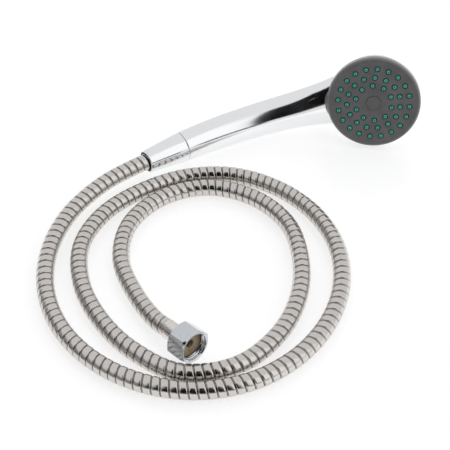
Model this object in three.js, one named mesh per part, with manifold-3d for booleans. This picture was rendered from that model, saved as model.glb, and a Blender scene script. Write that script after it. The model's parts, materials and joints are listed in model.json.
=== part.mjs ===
// A single-spray hand shower with its metal hose, lying on a surface as it is put down.
// Millimetres, +Z up. The origin is on that surface, below the middle of the handset.
// The handset has a frame of its own: +X runs from the handle out through the head,
// +Z is the spray direction, and its origin is the centre of the spray face.
import * as THREE from 'three';
import { mergeVertices } from 'three/addons/utils/BufferGeometryUtils.js';
import Module from 'manifold-3d';

const wasm = await Module();
wasm.setup();
const { degToRad, smoothstep } = THREE.MathUtils;

// ---------------------------------------------------------------- driving dimensions

// How the handset lies: rolled on to its side, head end raised, turned on the surface.
const LIE_ROLL = 72;
const LIE_PITCH = -14;
const LIE_YAW = -4.4;

// Clearances
const GAP = 0.3; // between pieces that touch on the real object
const CUT = 1; // how far a cutting solid runs past the face it opens

// Head
const HEAD_RADIUS = 40;
const FACE_THICKNESS = 2.4;
const FACE_SKIRT_DEPTH = 7.4;
const FACE_SKIRT_WALL = 1.8;
const FACE_EDGE_RADIUS = 2.2;
const HOUSING_INSET = 0.6; // the chromed wall stands this far inside the face's edge
const HOUSING_WALL_DEPTH = 4.9; // straight chromed wall below the face
const BOWL_DEPTH = 18.4; // rounded back below that wall
const SHELL_WALL = 2.4;
const LIP_WALL = 2.8; // lip of the housing that the face plate fits over
const ORING_SECTION = 1.4;

// Spray nozzles: rings from the outermost inwards; the face sits a little turned in its seat
const FACE_TURN = -5.5;
const NOZZLE_RADIUS = 2.1;
const NOZZLE_TIP_RADIUS = 1.5;
const NOZZLE_HEIGHT = 0.9;
const NOZZLE_JET_RADIUS = 0.5;
const NOZZLE_EDGE_MARGIN = 3.9; // outer ring in from the mat's edge
const NOZZLE_HUB_MARGIN = 7.5; // inner ring out from the hub
const NOZZLE_RINGS = [
  { count: 20, share: 1, phase: 9 },
  { count: 15, share: 0.475, phase: 12 },
  { count: 10, share: 0, phase: 18 },
];
const MAT_THICKNESS = 1.2;

// Hub in the middle of the face
const CAP_RADIUS = 6.3;
const HUB_WALL = 1.6; // around the cap's pocket
const CAP_THICKNESS = 2.3;
const CAP_PROUD = 0.15;
const SCREW_HEAD_RADIUS = 3.4;
const SCREW_HEAD_HEIGHT = 1.6;
const SCREW_SHANK_RADIUS = 1.7;
const SCREW_LENGTH = 15;
const SCREW_SLOT_WIDTH = 1;
const HUB_FLOOR = 2;

// Water chamber behind the face
const DISTRIBUTOR_THICKNESS = 2;
const DISTRIBUTOR_PORTS = 12;
const DISTRIBUTOR_PORT_RADIUS = 2.2;
const CHAMBER_WALL = 1.5;
const CHAMBER_SPACE = 2.5; // between the chamber and the shell around it
const POST_RADIUS = 5.5;
const SOCKET_WALL = 1.4;
const SOCKET_LENGTH = 12;
const SOCKET_REACH = 2; // tube socket's mouth past the head's edge

// Handle: an arc that meets the head tangent to the face
const HANDLE_ARC_RADIUS = 250;
const HANDLE_TURN = 41.14;
const HANDLE_DROP = 23; // the arc's end below the face
const INLET_STEP = 0.1; // the handle's end stands this far inside the conical nut's wide end
const GRIP_RADIUS = 15.1;
const NECK_HALF_WIDTH = 22.5;
const NECK_HALF_DEPTH = 14;
const NECK_FLATTENING = 0.12; // how much of the neck's front half is taken off

// Waterway and inlet
const TUBE_RADIUS = 5.5;
const TUBE_WALL = 1.3;
const SEAL_SECTION = 1.3;
const SEAL_LENGTH = 1.8;
const SPIGOT_SEAT = 12; // depth of the inlet piece inside the handle
const THREAD_RADIUS = 10.2; // plain cylinder in place of the G1/2 thread
const THREAD_LENGTH = 11.7;
const TUBE_STOP = 3; // the tube stops this far inside the handle's end
const SPIGOT_WALL = 1.9; // around the flow restrictor
const RESTRICTOR_THICKNESS = 1.7;
const RESTRICTOR_ORIFICE = 0.9;
const RESTRICTOR_SPREAD = 4.2;

// Hose
const HOSE_RADIUS = 7;
const HOSE_WALL = 1.3;
const LINING_PLAY = 0.4; // between the wound strip and the lining
const LINING_WALL = 1;
const BARB_WALL = 1.1;
const BARB_START = 2; // the barb stops this far short of the hose's own end
const STEM_FLANGE_THICKNESS = 2;
const HOSE_STEPS = 48;
const HOSE_SIDES = 10;
const LINING_SIDES = 6;

// Conical nut at the handset
const CONE_LENGTH = 35.6;
const CONE_NUT_WALL = 3; // around the thread, at the wide end
const CONE_MOUTH_WALL = 1.1;
const CONE_EDGE = 0.8;
const CONE_WASHER_BORE = 5;
const CONE_WASHER_THICKNESS = 2.2;
const MOUTH_DEPTH = 4.4; // the hose stands this deep in the cone's mouth
const MOUTH_RING_WALL = 1.2;
const MOUTH_RING_INSET = 0.4;

// Hexagon nut at the wall end, G1/2 like the handset's inlet
const HEX_WALL = 2; // around the thread, at the middle of a flat
const HEX_LENGTH = 16;
const HEX_ROLL = 39; // from corners straight up and down
const HEX_FACE_STEP = 0.1; // the round of its end faces stands this far outside the flats
const HEX_CHAMFER = 1.6;
const HEX_BACK_WALL = 4.6;
const HEX_SLEEVE_STEP = 0.3; // the sleeve's radius over the hose's
const HEX_SLEEVE_VISIBLE = 14.2;
const HEX_WASHER_BORE = 3.2;
const HEX_WASHER_THICKNESS = 3.2;

// The hose's route on the surface, from the conical nut round to the hexagon nut
const HOSE_ROUTE = [
  [-111.3, -33.7, 14.4], [-123.2, -41.9, 14.6], [-149.6, -63.6, 13.8], [-173.9, -95.3, 10.8],
  [-185.9, -133.3, 8.4], [-184.4, -173.3, 7.3], [-169.4, -210.8, 7.2], [-142.9, -240.8, 7.2],
  [-107.9, -260.8, 7.2], [-68.4, -267.8, 7.2], [-28.9, -259.8, 7.2], [4.6, -237.8, 7.2],
  [28.6, -205.8, 7.2], [41.1, -167.8, 7.2], [40.1, -127.8, 7.2], [24.6, -90.8, 7.2],
  [-3.4, -61.8, 7.2], [-39.9, -45.3, 7.2], [-79.9, -46.8, 7.2], [-116.4, -63.8, 7.2],
  [-145.9, -90.8, 7.2], [-161.4, -126.8, 7.2], [-157.9, -166.8, 7.2], [-140.9, -202.8, 7.2],
  [-114.9, -232.3, 7.2], [-78.9, -252.4, 7.2], [-39.4, -245.8, 7.2], [-9.4, -218.3, 7.2],
  [7.6, -181.3, 7.2], [11.1, -141.3, 7.2], [2.1, -102.3, 7.2], [-24.4, -72.8, 7.2],
  [-62.4, -60.3, 7.2], [-99.9, -72.8, 7.2], [-124.9, -103.8, 7.2], [-129.1, -143.3, 7.2],
  [-114.6, -180.9, 7.3], [-99, -205.3, 8.9], [-90.2, -214.4, 10.7],
];

// ---------------------------------------------------------------- sizes worked out

const skirtBore = HEAD_RADIUS - FACE_SKIRT_WALL;
const housingRadius = HEAD_RADIUS - HOUSING_INSET;
const housingTop = -FACE_SKIRT_DEPTH - GAP;
const wallBottom = housingTop - HOUSING_WALL_DEPTH;
const lipTop = -FACE_THICKNESS - GAP;
const lipRadius = skirtBore - 2 * GAP;
const lipBore = lipRadius - LIP_WALL;
const chamberRadius = lipBore - GAP;
const matTop = -FACE_THICKNESS - GAP;
const distributorTop = matTop - MAT_THICKNESS - GAP;
const chamberTop = distributorTop - DISTRIBUTOR_THICKNESS - GAP;
const chamberFloorDepth = BOWL_DEPTH - SHELL_WALL - CHAMBER_SPACE;
const hubRadius = CAP_RADIUS + GAP + HUB_WALL;
const hubBore = hubRadius + GAP;
const capFloor = CAP_PROUD - CAP_THICKNESS;
const hubPocketRadius = CAP_RADIUS + GAP;
const hubPocketFloor = capFloor - GAP - SCREW_HEAD_HEIGHT - GAP;
const hubBottom = hubPocketFloor - HUB_FLOOR;
const screwHole = SCREW_SHANK_RADIUS + GAP;
const tubeBore = TUBE_RADIUS - TUBE_WALL;
const tubeSocket = TUBE_RADIUS + GAP;
const sealSeat = tubeSocket + SEAL_SECTION;
const turn = degToRad(HANDLE_TURN);
const arcLength = HANDLE_ARC_RADIUS * turn;

// The hose and its stems, from the outside in
const hoseBore = HOSE_RADIUS - HOSE_WALL;
const liningRadius = hoseBore - LINING_PLAY;
const liningBore = liningRadius - LINING_WALL;
const barbRadius = liningBore - GAP;
const barbBore = barbRadius - BARB_WALL;

// The two nuts and what they screw on to, from the thread and the hose out
const coneWideRadius = THREAD_RADIUS + GAP + CONE_NUT_WALL;
const coneBore = HOSE_RADIUS + GAP + MOUTH_RING_WALL + GAP;
const coneSmallRadius = coneBore + CONE_MOUTH_WALL;
const inletRadius = coneWideRadius - INLET_STEP;
const spigotRadius = inletRadius - SHELL_WALL;
const restrictorRadius = THREAD_RADIUS - SPIGOT_WALL - GAP;
const hexHalfFlats = THREAD_RADIUS + GAP + HEX_WALL;
const hexFaceRadius = hexHalfFlats + HEX_FACE_STEP;
const hexSleeveRadius = HOSE_RADIUS + HEX_SLEEVE_STEP;

// Places along the hose's axis at the conical nut, measured out from the handle's end
const coneWasherStart = THREAD_LENGTH + GAP;
const coneFlangeStart = coneWasherStart + CONE_WASHER_THICKNESS + GAP;
const coneShoulder = coneFlangeStart + STEM_FLANGE_THICKNESS + GAP;
const coneMouth = GAP + CONE_LENGTH;
const hoseStart = coneMouth - MOUTH_DEPTH;

// Places along the hose's axis at the hexagon nut, measured out from the hose's end
const hexBack = GAP + HEX_SLEEVE_VISIBLE;
const hexSocketFloor = hexBack + HEX_BACK_WALL;
const hexFront = hexBack + HEX_LENGTH;
const hexFlangeStart = hexSocketFloor + GAP;
const hexWasherStart = hexFlangeStart + STEM_FLANGE_THICKNESS + GAP;

// ---------------------------------------------------------------- geometry helpers

// Positions only, with shared corners joined and faces turned outwards.
function closedMesh(geometry) {
  const bare = geometry.clone();
  bare.deleteAttribute('normal');
  bare.deleteAttribute('uv');
  const merged = mergeVertices(bare, 1e-4);
  const source = merged.index.array;
  const position = merged.attributes.position;
  const faces = [];
  let volume = 0;
  const [a, b, c] = [new THREE.Vector3(), new THREE.Vector3(), new THREE.Vector3()];
  for (let i = 0; i < source.length; i += 3) {
    const [p, q, r] = [source[i], source[i + 1], source[i + 2]];
    if (p === q || q === r || r === p) continue;
    faces.push([p, q, r]);
    a.fromBufferAttribute(position, p);
    b.fromBufferAttribute(position, q);
    c.fromBufferAttribute(position, r);
    volume += a.dot(b.cross(c));
  }
  merged.setIndex(faces.flatMap(([p, q, r]) => (volume < 0 ? [p, r, q] : [p, q, r])));
  return merged;
}

function solid(geometry) {
  const mesh = closedMesh(geometry);
  return new wasm.Manifold(new wasm.Mesh({
    numProp: 3,
    vertProperties: new Float32Array(mesh.attributes.position.array),
    triVerts: new Uint32Array(mesh.index.array),
  }));
}

function geometryOf(manifold) {
  const mesh = manifold.getMesh();
  const geometry = new THREE.BufferGeometry();
  geometry.setAttribute('position', new THREE.BufferAttribute(mesh.vertProperties, 3));
  geometry.setIndex(new THREE.BufferAttribute(mesh.triVerts, 1));
  geometry.computeVertexNormals();
  return geometry;
}

// A body turned about Z. Each point of the outline is [radius, height].
function turned(outline, segments = 20) {
  const points = outline.map(([radius, height]) => new THREE.Vector2(radius, height));
  return new THREE.LatheGeometry(points, segments).rotateX(Math.PI / 2);
}

function rod(radius, bottom, top, segments = 20) {
  return turned([[0, bottom], [radius, bottom], [radius, top], [0, top]], segments);
}

function ring(bore, radius, bottom, top, segments = 20) {
  return turned([[bore, bottom], [radius, bottom], [radius, top], [bore, top], [bore, bottom]],
    segments);
}

// Points of a quarter ellipse from [radius, start] in to the axis at start - depth.
function bowlOutline(radius, start, depth, steps = 5) {
  return Array.from({ length: steps }, (_, i) => {
    const angle = (Math.PI / 2) * ((i + 1) / steps);
    const onAxis = i === steps - 1;
    return [onAxis ? 0 : radius * Math.cos(angle), start - depth * Math.sin(angle)];
  });
}

function polygonShape(radius, sides, bore = 0) {
  const points = (r) => Array.from({ length: sides }, (_, i) => {
    const angle = (2 * Math.PI * i) / sides;
    return new THREE.Vector2(r * Math.cos(angle), r * Math.sin(angle));
  });
  const shape = new THREE.Shape(points(radius));
  if (bore > 0) shape.holes.push(new THREE.Path(points(bore)));
  return shape;
}

function tubeAlong(curve, steps, radius, bore, sides) {
  const shape = polygonShape(radius, sides, bore);
  return new THREE.ExtrudeGeometry(shape, { steps, extrudePath: curve, bevelEnabled: false });
}

const FINISHES = {
  chrome: { color: 0xdfe1e4, roughness: 0.08, metalness: 1 },
  steel: { color: 0xc8c3bc, roughness: 0.25, metalness: 1 },
  brass: { color: 0xb9a06a, roughness: 0.35, metalness: 1 },
  greyPlastic: { color: 0x6b6b6d, roughness: 0.5, metalness: 0 },
  innerPlastic: { color: 0xd9d6cf, roughness: 0.55, metalness: 0 },
  blackPlastic: { color: 0x17171a, roughness: 0.5, metalness: 0 },
  greenRubber: { color: 0x2f9c83, roughness: 0.6, metalness: 0 },
  sealRubber: { color: 0x23211f, roughness: 0.7, metalness: 0 },
  washerRubber: { color: 0xa5916f, roughness: 0.75, metalness: 0 },
  liningRubber: { color: 0xd8d4c8, roughness: 0.6, metalness: 0 },
};

function piece(name, geometry, finish) {
  const mesh = new THREE.Mesh(geometry, new THREE.MeshStandardMaterial(FINISHES[finish]));
  mesh.name = name;
  return mesh;
}

// ---------------------------------------------------------------- the handle's arc

// The point a given distance back along the arc from its end under the face.
function onArc(back) {
  const angle = back / HANDLE_ARC_RADIUS;
  const rise = HANDLE_ARC_RADIUS * (1 - Math.cos(angle));
  return new THREE.Vector3(-HANDLE_ARC_RADIUS * Math.sin(angle), 0, rise - HANDLE_DROP);
}

// The mouth of the water chamber's tube socket, a little past the head's edge.
const socketEnd = -HEAD_RADIUS - SOCKET_REACH;
const socketDrop = -onArc(-socketEnd).z;

// Half width and half depth of the handle, by the distance back from the head's middle.
function handleOutline() {
  const grip = (share) => arcLength * (1 - share);
  return new THREE.CatmullRomCurve3([
    [arcLength, inletRadius, inletRadius],
    [grip(0.17), (inletRadius + GRIP_RADIUS) / 2, (inletRadius + GRIP_RADIUS) / 2],
    [grip(0.38), GRIP_RADIUS, GRIP_RADIUS],
    [grip(0.56), GRIP_RADIUS + 1, GRIP_RADIUS + 0.2],
    [HEAD_RADIUS + 17, GRIP_RADIUS + 2.7, GRIP_RADIUS - 0.3],
    [HEAD_RADIUS + 3, NECK_HALF_WIDTH - 2.6, NECK_HALF_DEPTH],
    [HEAD_RADIUS * 0.72, NECK_HALF_WIDTH, NECK_HALF_DEPTH - 2.6],
    [HEAD_RADIUS * 0.42, NECK_HALF_WIDTH - 5, NECK_HALF_DEPTH - 5],
    [HEAD_RADIUS * 0.2, NECK_HALF_WIDTH / 2, NECK_HALF_DEPTH - 8],
  ].map((values) => new THREE.Vector3(...values)));
}

// A solid swept along the arc through oval sections, smaller all round by inset.
function handleSolid(inset, stations = 15, sides = 20) {
  const outline = handleOutline();
  const flatFrom = HEAD_RADIUS * 2;
  const flatTo = HEAD_RADIUS + 5;
  const corners = [];
  const faces = [];
  for (let i = 0; i <= stations; i += 1) {
    const section = outline.getPoint(i / stations);
    const angle = section.x / HANDLE_ARC_RADIUS;
    const centre = onArc(section.x);
    const flat = 1 - NECK_FLATTENING * (1 - smoothstep(section.x, flatTo, flatFrom));
    for (let k = 0; k < sides; k += 1) {
      const around = (2 * Math.PI * k) / sides;
      const across = (section.y - inset) * Math.cos(around);
      const depth = Math.sin(around) > 0 ? section.z * flat - inset : section.z - inset;
      const up = depth * Math.sin(around);
      corners.push(centre.x + up * Math.sin(angle), across, centre.z + up * Math.cos(angle));
    }
  }
  for (let i = 0; i < stations; i += 1) {
    for (let k = 0; k < sides; k += 1) {
      const [a, b] = [i * sides + k, i * sides + ((k + 1) % sides)];
      faces.push(a, b, b + sides, a, b + sides, a + sides);
    }
  }
  const last = stations * sides;
  for (let k = 1; k < sides - 1; k += 1) {
    faces.push(0, k + 1, k, last, last + k, last + k + 1);
  }
  const geometry = new THREE.BufferGeometry();
  geometry.setAttribute('position', new THREE.Float32BufferAttribute(corners, 3));
  geometry.setIndex(faces);
  return solid(geometry);
}

// The frame at the handle's end: origin on its end face, +Z straight out of the handle.
function atInlet(object) {
  object.position.copy(onArc(arcLength));
  object.rotation.y = turn - Math.PI / 2;
  object.updateMatrix();
  return object;
}

// ---------------------------------------------------------------- the head

function nozzlePlaces() {
  const outer = chamberRadius - NOZZLE_EDGE_MARGIN;
  const inner = hubRadius + NOZZLE_HUB_MARGIN;
  return NOZZLE_RINGS.flatMap(({ count, share, phase }) => {
    const radius = inner + (outer - inner) * share;
    return Array.from({ length: count }, (_, i) => {
      const angle = degToRad(FACE_TURN + phase + (360 * i) / count);
      return [radius * Math.cos(angle), radius * Math.sin(angle)];
    });
  });
}

function facePlate() {
  const edge = Array.from({ length: 4 }, (_, i) => {
    const angle = (Math.PI / 2) * (i / 3);
    const centre = HEAD_RADIUS - FACE_EDGE_RADIUS;
    const height = FACE_EDGE_RADIUS * (Math.cos(angle) - 1);
    return [centre + FACE_EDGE_RADIUS * Math.sin(angle), height];
  });
  let plate = solid(turned([
    [0, 0], ...edge, [HEAD_RADIUS, -FACE_SKIRT_DEPTH], [skirtBore, -FACE_SKIRT_DEPTH],
    [skirtBore, -FACE_THICKNESS], [hubRadius, -FACE_THICKNESS], [hubRadius, hubBottom],
    [0, hubBottom],
  ], 36));
  const holes = nozzlePlaces().map(([x, y]) => solid(
    rod(NOZZLE_RADIUS + GAP, -FACE_THICKNESS - CUT, CUT, 6).translate(x, y, 0)));
  plate = plate.subtract(wasm.Manifold.union(holes));
  plate = plate.subtract(solid(rod(hubPocketRadius, hubPocketFloor, CUT)));
  plate = plate.subtract(solid(rod(screwHole, hubBottom - CUT, 0, 12)));
  return geometryOf(plate);
}

function nozzleMat() {
  const bottom = matTop - MAT_THICKNESS;
  const nozzle = [
    [0, matTop - MAT_THICKNESS / 2], [NOZZLE_RADIUS, matTop - MAT_THICKNESS / 2],
    [NOZZLE_RADIUS, 0], [NOZZLE_TIP_RADIUS, NOZZLE_HEIGHT], [0, NOZZLE_HEIGHT],
  ];
  const places = nozzlePlaces();
  const nozzles = places.map(([x, y]) => solid(turned(nozzle, 6).translate(x, y, 0)));
  const jets = places.map(([x, y]) => solid(
    rod(NOZZLE_JET_RADIUS, bottom - CUT, NOZZLE_HEIGHT + CUT, 3).translate(x, y, 0)));
  const sheet = solid(ring(hubBore, chamberRadius, bottom, matTop, 36));
  return geometryOf(
    sheet.add(wasm.Manifold.union(nozzles)).subtract(wasm.Manifold.union(jets)));
}

function distributorPlate() {
  const bottom = distributorTop - DISTRIBUTOR_THICKNESS;
  const radius = (hubBore + chamberRadius) / 2;
  const ports = Array.from({ length: DISTRIBUTOR_PORTS }, (_, i) => {
    const angle = (2 * Math.PI * i) / DISTRIBUTOR_PORTS;
    return solid(rod(DISTRIBUTOR_PORT_RADIUS, bottom - CUT, distributorTop + CUT, 6)
      .translate(radius * Math.cos(angle), radius * Math.sin(angle), 0));
  });
  const plate = solid(ring(hubBore, chamberRadius, bottom, distributorTop, 36));
  return geometryOf(plate.subtract(wasm.Manifold.union(ports)));
}

function centreCap() {
  const bevel = 0.4;
  return turned([
    [0, capFloor], [CAP_RADIUS, capFloor], [CAP_RADIUS, CAP_PROUD - bevel],
    [CAP_RADIUS - bevel, CAP_PROUD], [0, CAP_PROUD],
  ]);
}

function faceScrew() {
  const top = capFloor - GAP;
  const under = top - SCREW_HEAD_HEIGHT;
  const screw = solid(turned([
    [0, under - SCREW_LENGTH], [SCREW_SHANK_RADIUS, under - SCREW_LENGTH],
    [SCREW_SHANK_RADIUS, under], [SCREW_HEAD_RADIUS, under],
    [SCREW_HEAD_RADIUS, top - SCREW_HEAD_HEIGHT / 3], [SCREW_HEAD_RADIUS * 0.7, top], [0, top],
  ], 16));
  const slotLength = SCREW_HEAD_RADIUS * 1.3;
  const slotDepth = SCREW_HEAD_HEIGHT / 2;
  const slot = () => new THREE.BoxGeometry(slotLength, SCREW_SLOT_WIDTH, 2 * slotDepth);
  const cross = solid(slot()).add(solid(slot().rotateZ(Math.PI / 2)));
  return geometryOf(screw.subtract(cross.translate([0, 0, top])));
}

// O-ring groove around the housing's lip, half way up the face plate's skirt.
const grooveMiddle = (lipTop + housingTop) / 2;
const grooveFloor = skirtBore - GAP - ORING_SECTION - GAP;

function faceOring() {
  const middle = grooveFloor + GAP + ORING_SECTION / 2;
  const outline = Array.from({ length: 7 }, (_, i) => {
    const angle = (2 * Math.PI * (i % 6)) / 6;
    const radius = ORING_SECTION / 2;
    return [middle + radius * Math.cos(angle), grooveMiddle + radius * Math.sin(angle)];
  });
  return turned(outline, 36);
}

function waterChamber() {
  const outer = solid(turned([
    [0, chamberTop], [chamberRadius, chamberTop], [chamberRadius, wallBottom],
    ...bowlOutline(chamberRadius, wallBottom, chamberFloorDepth),
  ], 28));
  const innerRadius = chamberRadius - CHAMBER_WALL;
  const inner = solid(turned([
    [0, chamberTop + CUT], [innerRadius, chamberTop + CUT], [innerRadius, wallBottom],
    ...bowlOutline(innerRadius, wallBottom, chamberFloorDepth - CHAMBER_WALL),
  ], 28));
  const along = (radius, from, to) => solid(
    rod(radius, from, to, 24).rotateY(Math.PI / 2).translate(0, 0, -socketDrop));
  const socket = along(tubeSocket + SOCKET_WALL, socketEnd, socketEnd + SOCKET_LENGTH);
  const passage = along(tubeSocket, socketEnd - CUT, socketEnd + SOCKET_LENGTH + CUT);
  const sealPocket = along(sealSeat, socketEnd - CUT, socketEnd + SEAL_LENGTH + GAP);
  const postTop = hubBottom - GAP;
  const floor = wallBottom - chamberFloorDepth;
  const post = solid(rod(POST_RADIUS, floor + CHAMBER_WALL / 2, postTop, 24));
  const pilot = solid(rod(screwHole, hubPocketFloor - SCREW_LENGTH - GAP, postTop + CUT, 12));
  return geometryOf(outer.subtract(inner).add(socket).subtract(passage).subtract(sealPocket)
    .add(post).subtract(pilot));
}

// ---------------------------------------------------------------- shell and waterway

function bodyShell() {
  const faceRoom = solid(rod(HEAD_RADIUS + GAP, housingTop, CUT, 36)); // keeps the neck off it
  const outer = solid(turned([
    [0, lipTop], [lipRadius, lipTop], [lipRadius, housingTop], [housingRadius, housingTop],
    [housingRadius, wallBottom], ...bowlOutline(housingRadius, wallBottom, BOWL_DEPTH),
  ], 36)).add(handleSolid(0).subtract(faceRoom));
  const lipBottom = housingTop - SHELL_WALL;
  const cavityRadius = housingRadius - SHELL_WALL;
  const cavity = solid(turned([
    [0, lipTop + CUT], [lipBore, lipTop + CUT], [lipBore, lipBottom], [cavityRadius, lipBottom],
    [cavityRadius, wallBottom],
    ...bowlOutline(cavityRadius, wallBottom, BOWL_DEPTH - SHELL_WALL),
  ], 36));
  const handleCavity = handleSolid(SHELL_WALL).subtract(inletCut(inletRadius + CUT, SPIGOT_SEAT));
  const bore = inletCut(spigotRadius + GAP, SPIGOT_SEAT + GAP);
  const groove = solid(ring(grooveFloor, lipRadius + CUT,
    grooveMiddle - ORING_SECTION / 2 - GAP, grooveMiddle + ORING_SECTION / 2 + GAP, 36));
  return geometryOf(outer.subtract(cavity).subtract(handleCavity).subtract(bore)
    .subtract(groove));
}

// A cylinder on the inlet's axis that reaches a given depth into the handle.
function inletCut(radius, depth) {
  const cutter = atInlet(new THREE.Object3D());
  return solid(rod(radius, -depth, CUT, 32).applyMatrix4(cutter.matrix));
}

function waterwayTube() {
  const inlet = atInlet(new THREE.Object3D());
  const inletPoint = (height) => new THREE.Vector3(0, 0, height).applyMatrix4(inlet.matrix);
  const route = new THREE.CatmullRomCurve3([
    inletPoint(-TUBE_STOP - GAP), inletPoint(-SPIGOT_SEAT / 2), inletPoint(-SPIGOT_SEAT - 4),
    onArc(arcLength * 0.75), onArc(arcLength * 0.58), onArc(arcLength * 0.42),
    new THREE.Vector3(socketEnd - 5, 0, -socketDrop),
    new THREE.Vector3(socketEnd + 2, 0, -socketDrop),
    new THREE.Vector3(socketEnd + SOCKET_LENGTH - 1, 0, -socketDrop),
  ]);
  return tubeAlong(route, 16, TUBE_RADIUS, tubeBore, 10);
}

// A seal around the tube, in a frame whose Z axis is the tube's, from height on.
function tubeSeal(height) {
  const bore = TUBE_RADIUS + GAP;
  const outer = sealSeat - GAP;
  return ring(bore, outer, height, height + SEAL_LENGTH);
}

function headTubeSeal() {
  return tubeSeal(socketEnd).rotateY(Math.PI / 2).translate(0, 0, -socketDrop);
}

function inletSpigot() {
  const restrictorSeat = THREAD_LENGTH - RESTRICTOR_THICKNESS - 2 * GAP;
  const sealEnd = -SPIGOT_SEAT + SEAL_LENGTH + GAP;
  return turned([
    [sealSeat, -SPIGOT_SEAT], [spigotRadius, -SPIGOT_SEAT], [spigotRadius, -GAP],
    [THREAD_RADIUS, -GAP], [THREAD_RADIUS, THREAD_LENGTH],
    [restrictorRadius + GAP, THREAD_LENGTH], [restrictorRadius + GAP, restrictorSeat],
    [tubeBore, restrictorSeat], [tubeBore, -TUBE_STOP], [tubeSocket, -TUBE_STOP],
    [tubeSocket, sealEnd], [sealSeat, sealEnd], [sealSeat, -SPIGOT_SEAT],
  ]);
}

function flowRestrictor() {
  const top = THREAD_LENGTH - GAP;
  const bottom = top - RESTRICTOR_THICKNESS;
  const orifices = Array.from({ length: 6 }, (_, i) => {
    const angle = (2 * Math.PI * i) / 6;
    const [x, y] = [Math.cos(angle), Math.sin(angle)];
    return solid(rod(RESTRICTOR_ORIFICE, bottom - CUT, top + CUT, 8)
      .translate(x * RESTRICTOR_SPREAD, y * RESTRICTOR_SPREAD, 0));
  });
  const disc = solid(rod(restrictorRadius, bottom, top, 32));
  return geometryOf(disc.subtract(wasm.Manifold.union(orifices)));
}

// ---------------------------------------------------------------- conical nut end

function coneNut() {
  return turned([
    [THREAD_RADIUS + GAP, GAP], [coneWideRadius - CONE_EDGE / 2, GAP],
    [coneWideRadius, GAP + CONE_EDGE], [coneSmallRadius, coneMouth - CONE_EDGE],
    [coneSmallRadius - CONE_EDGE / 4, coneMouth], [coneBore, coneMouth],
    [coneBore, coneShoulder], [THREAD_RADIUS + GAP, coneShoulder], [THREAD_RADIUS + GAP, GAP],
  ], 28);
}

function hoseWasher(bore, start, thickness) {
  return ring(bore, THREAD_RADIUS, start, start + thickness);
}

// The barbed stem inside each end of the hose; its flange takes the nut's pull.
function hoseStem(flangeFace, flangeBack, barbEnd) {
  const outline = [
    [barbBore, flangeFace], [THREAD_RADIUS, flangeFace], [THREAD_RADIUS, flangeBack],
    [barbRadius, flangeBack], [barbRadius, barbEnd], [barbBore, barbEnd],
    [barbBore, flangeFace],
  ];
  return turned(barbEnd > flangeFace ? outline : outline.reverse());
}

function mouthRing() {
  const bore = HOSE_RADIUS + GAP;
  return ring(bore, bore + MOUTH_RING_WALL, hoseStart, coneMouth - MOUTH_RING_INSET);
}

function coneSleeve() {
  const bore = liningRadius + GAP;
  return ring(bore, coneBore - GAP, coneShoulder, hoseStart - GAP);
}

function conicalNutEnd() {
  const flangeBack = coneFlangeStart + STEM_FLANGE_THICKNESS;
  const barbEnd = hoseStart - BARB_START;
  const end = atInlet(new THREE.Group());
  end.add(
    piece('cone_nut', coneNut(), 'chrome'),
    piece('cone_mouth_ring', mouthRing(), 'blackPlastic'),
    piece('cone_washer', hoseWasher(CONE_WASHER_BORE, coneWasherStart,
      CONE_WASHER_THICKNESS), 'sealRubber'),
    piece('cone_stem', hoseStem(coneFlangeStart, flangeBack, barbEnd), 'brass'),
    piece('cone_sleeve', coneSleeve(), 'steel'),
  );
  return end;
}

// ---------------------------------------------------------------- hexagon nut end

function hexNut() {
  const cornerRadius = 2 * hexHalfFlats / Math.sqrt(3);
  const prism = new THREE.CylinderGeometry(cornerRadius, cornerRadius, HEX_LENGTH, 6)
    .rotateX(Math.PI / 2).rotateZ(degToRad(HEX_ROLL)).translate(0, 0, hexBack + HEX_LENGTH / 2);
  const chamfer = solid(turned([
    [0, hexBack], [hexFaceRadius, hexBack], [cornerRadius, hexBack + HEX_CHAMFER],
    [cornerRadius, hexFront - HEX_CHAMFER], [hexFaceRadius, hexFront], [0, hexFront],
  ], 36));
  const socket = solid(rod(THREAD_RADIUS + GAP, hexSocketFloor, hexFront + CUT));
  const neck = solid(rod(hexSleeveRadius + GAP, hexBack - CUT, hexSocketFloor + CUT));
  return geometryOf(solid(prism).intersect(chamfer).subtract(socket).subtract(neck));
}

function hexagonNutEnd(curve) {
  const end = new THREE.Group();
  const upright = new THREE.Vector3(0, 0, 1);
  const outwards = new THREE.Matrix4()
    .lookAt(curve.getTangent(1), new THREE.Vector3(), upright);
  end.position.copy(curve.getPoint(1));
  end.quaternion.setFromRotationMatrix(outwards);
  const flangeFace = hexFlangeStart + STEM_FLANGE_THICKNESS;
  const sleeve = ring(liningRadius + GAP, hexSleeveRadius, GAP, hexSocketFloor);
  end.add(
    piece('hex_sleeve', sleeve, 'steel'),
    piece('hex_stem', hoseStem(flangeFace, hexFlangeStart, BARB_START), 'brass'),
    piece('hex_washer', hoseWasher(HEX_WASHER_BORE, hexWasherStart,
      HEX_WASHER_THICKNESS), 'washerRubber'),
    piece('hex_nut', hexNut(), 'chrome'),
  );
  return end;
}

// ---------------------------------------------------------------- assembly

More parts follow.
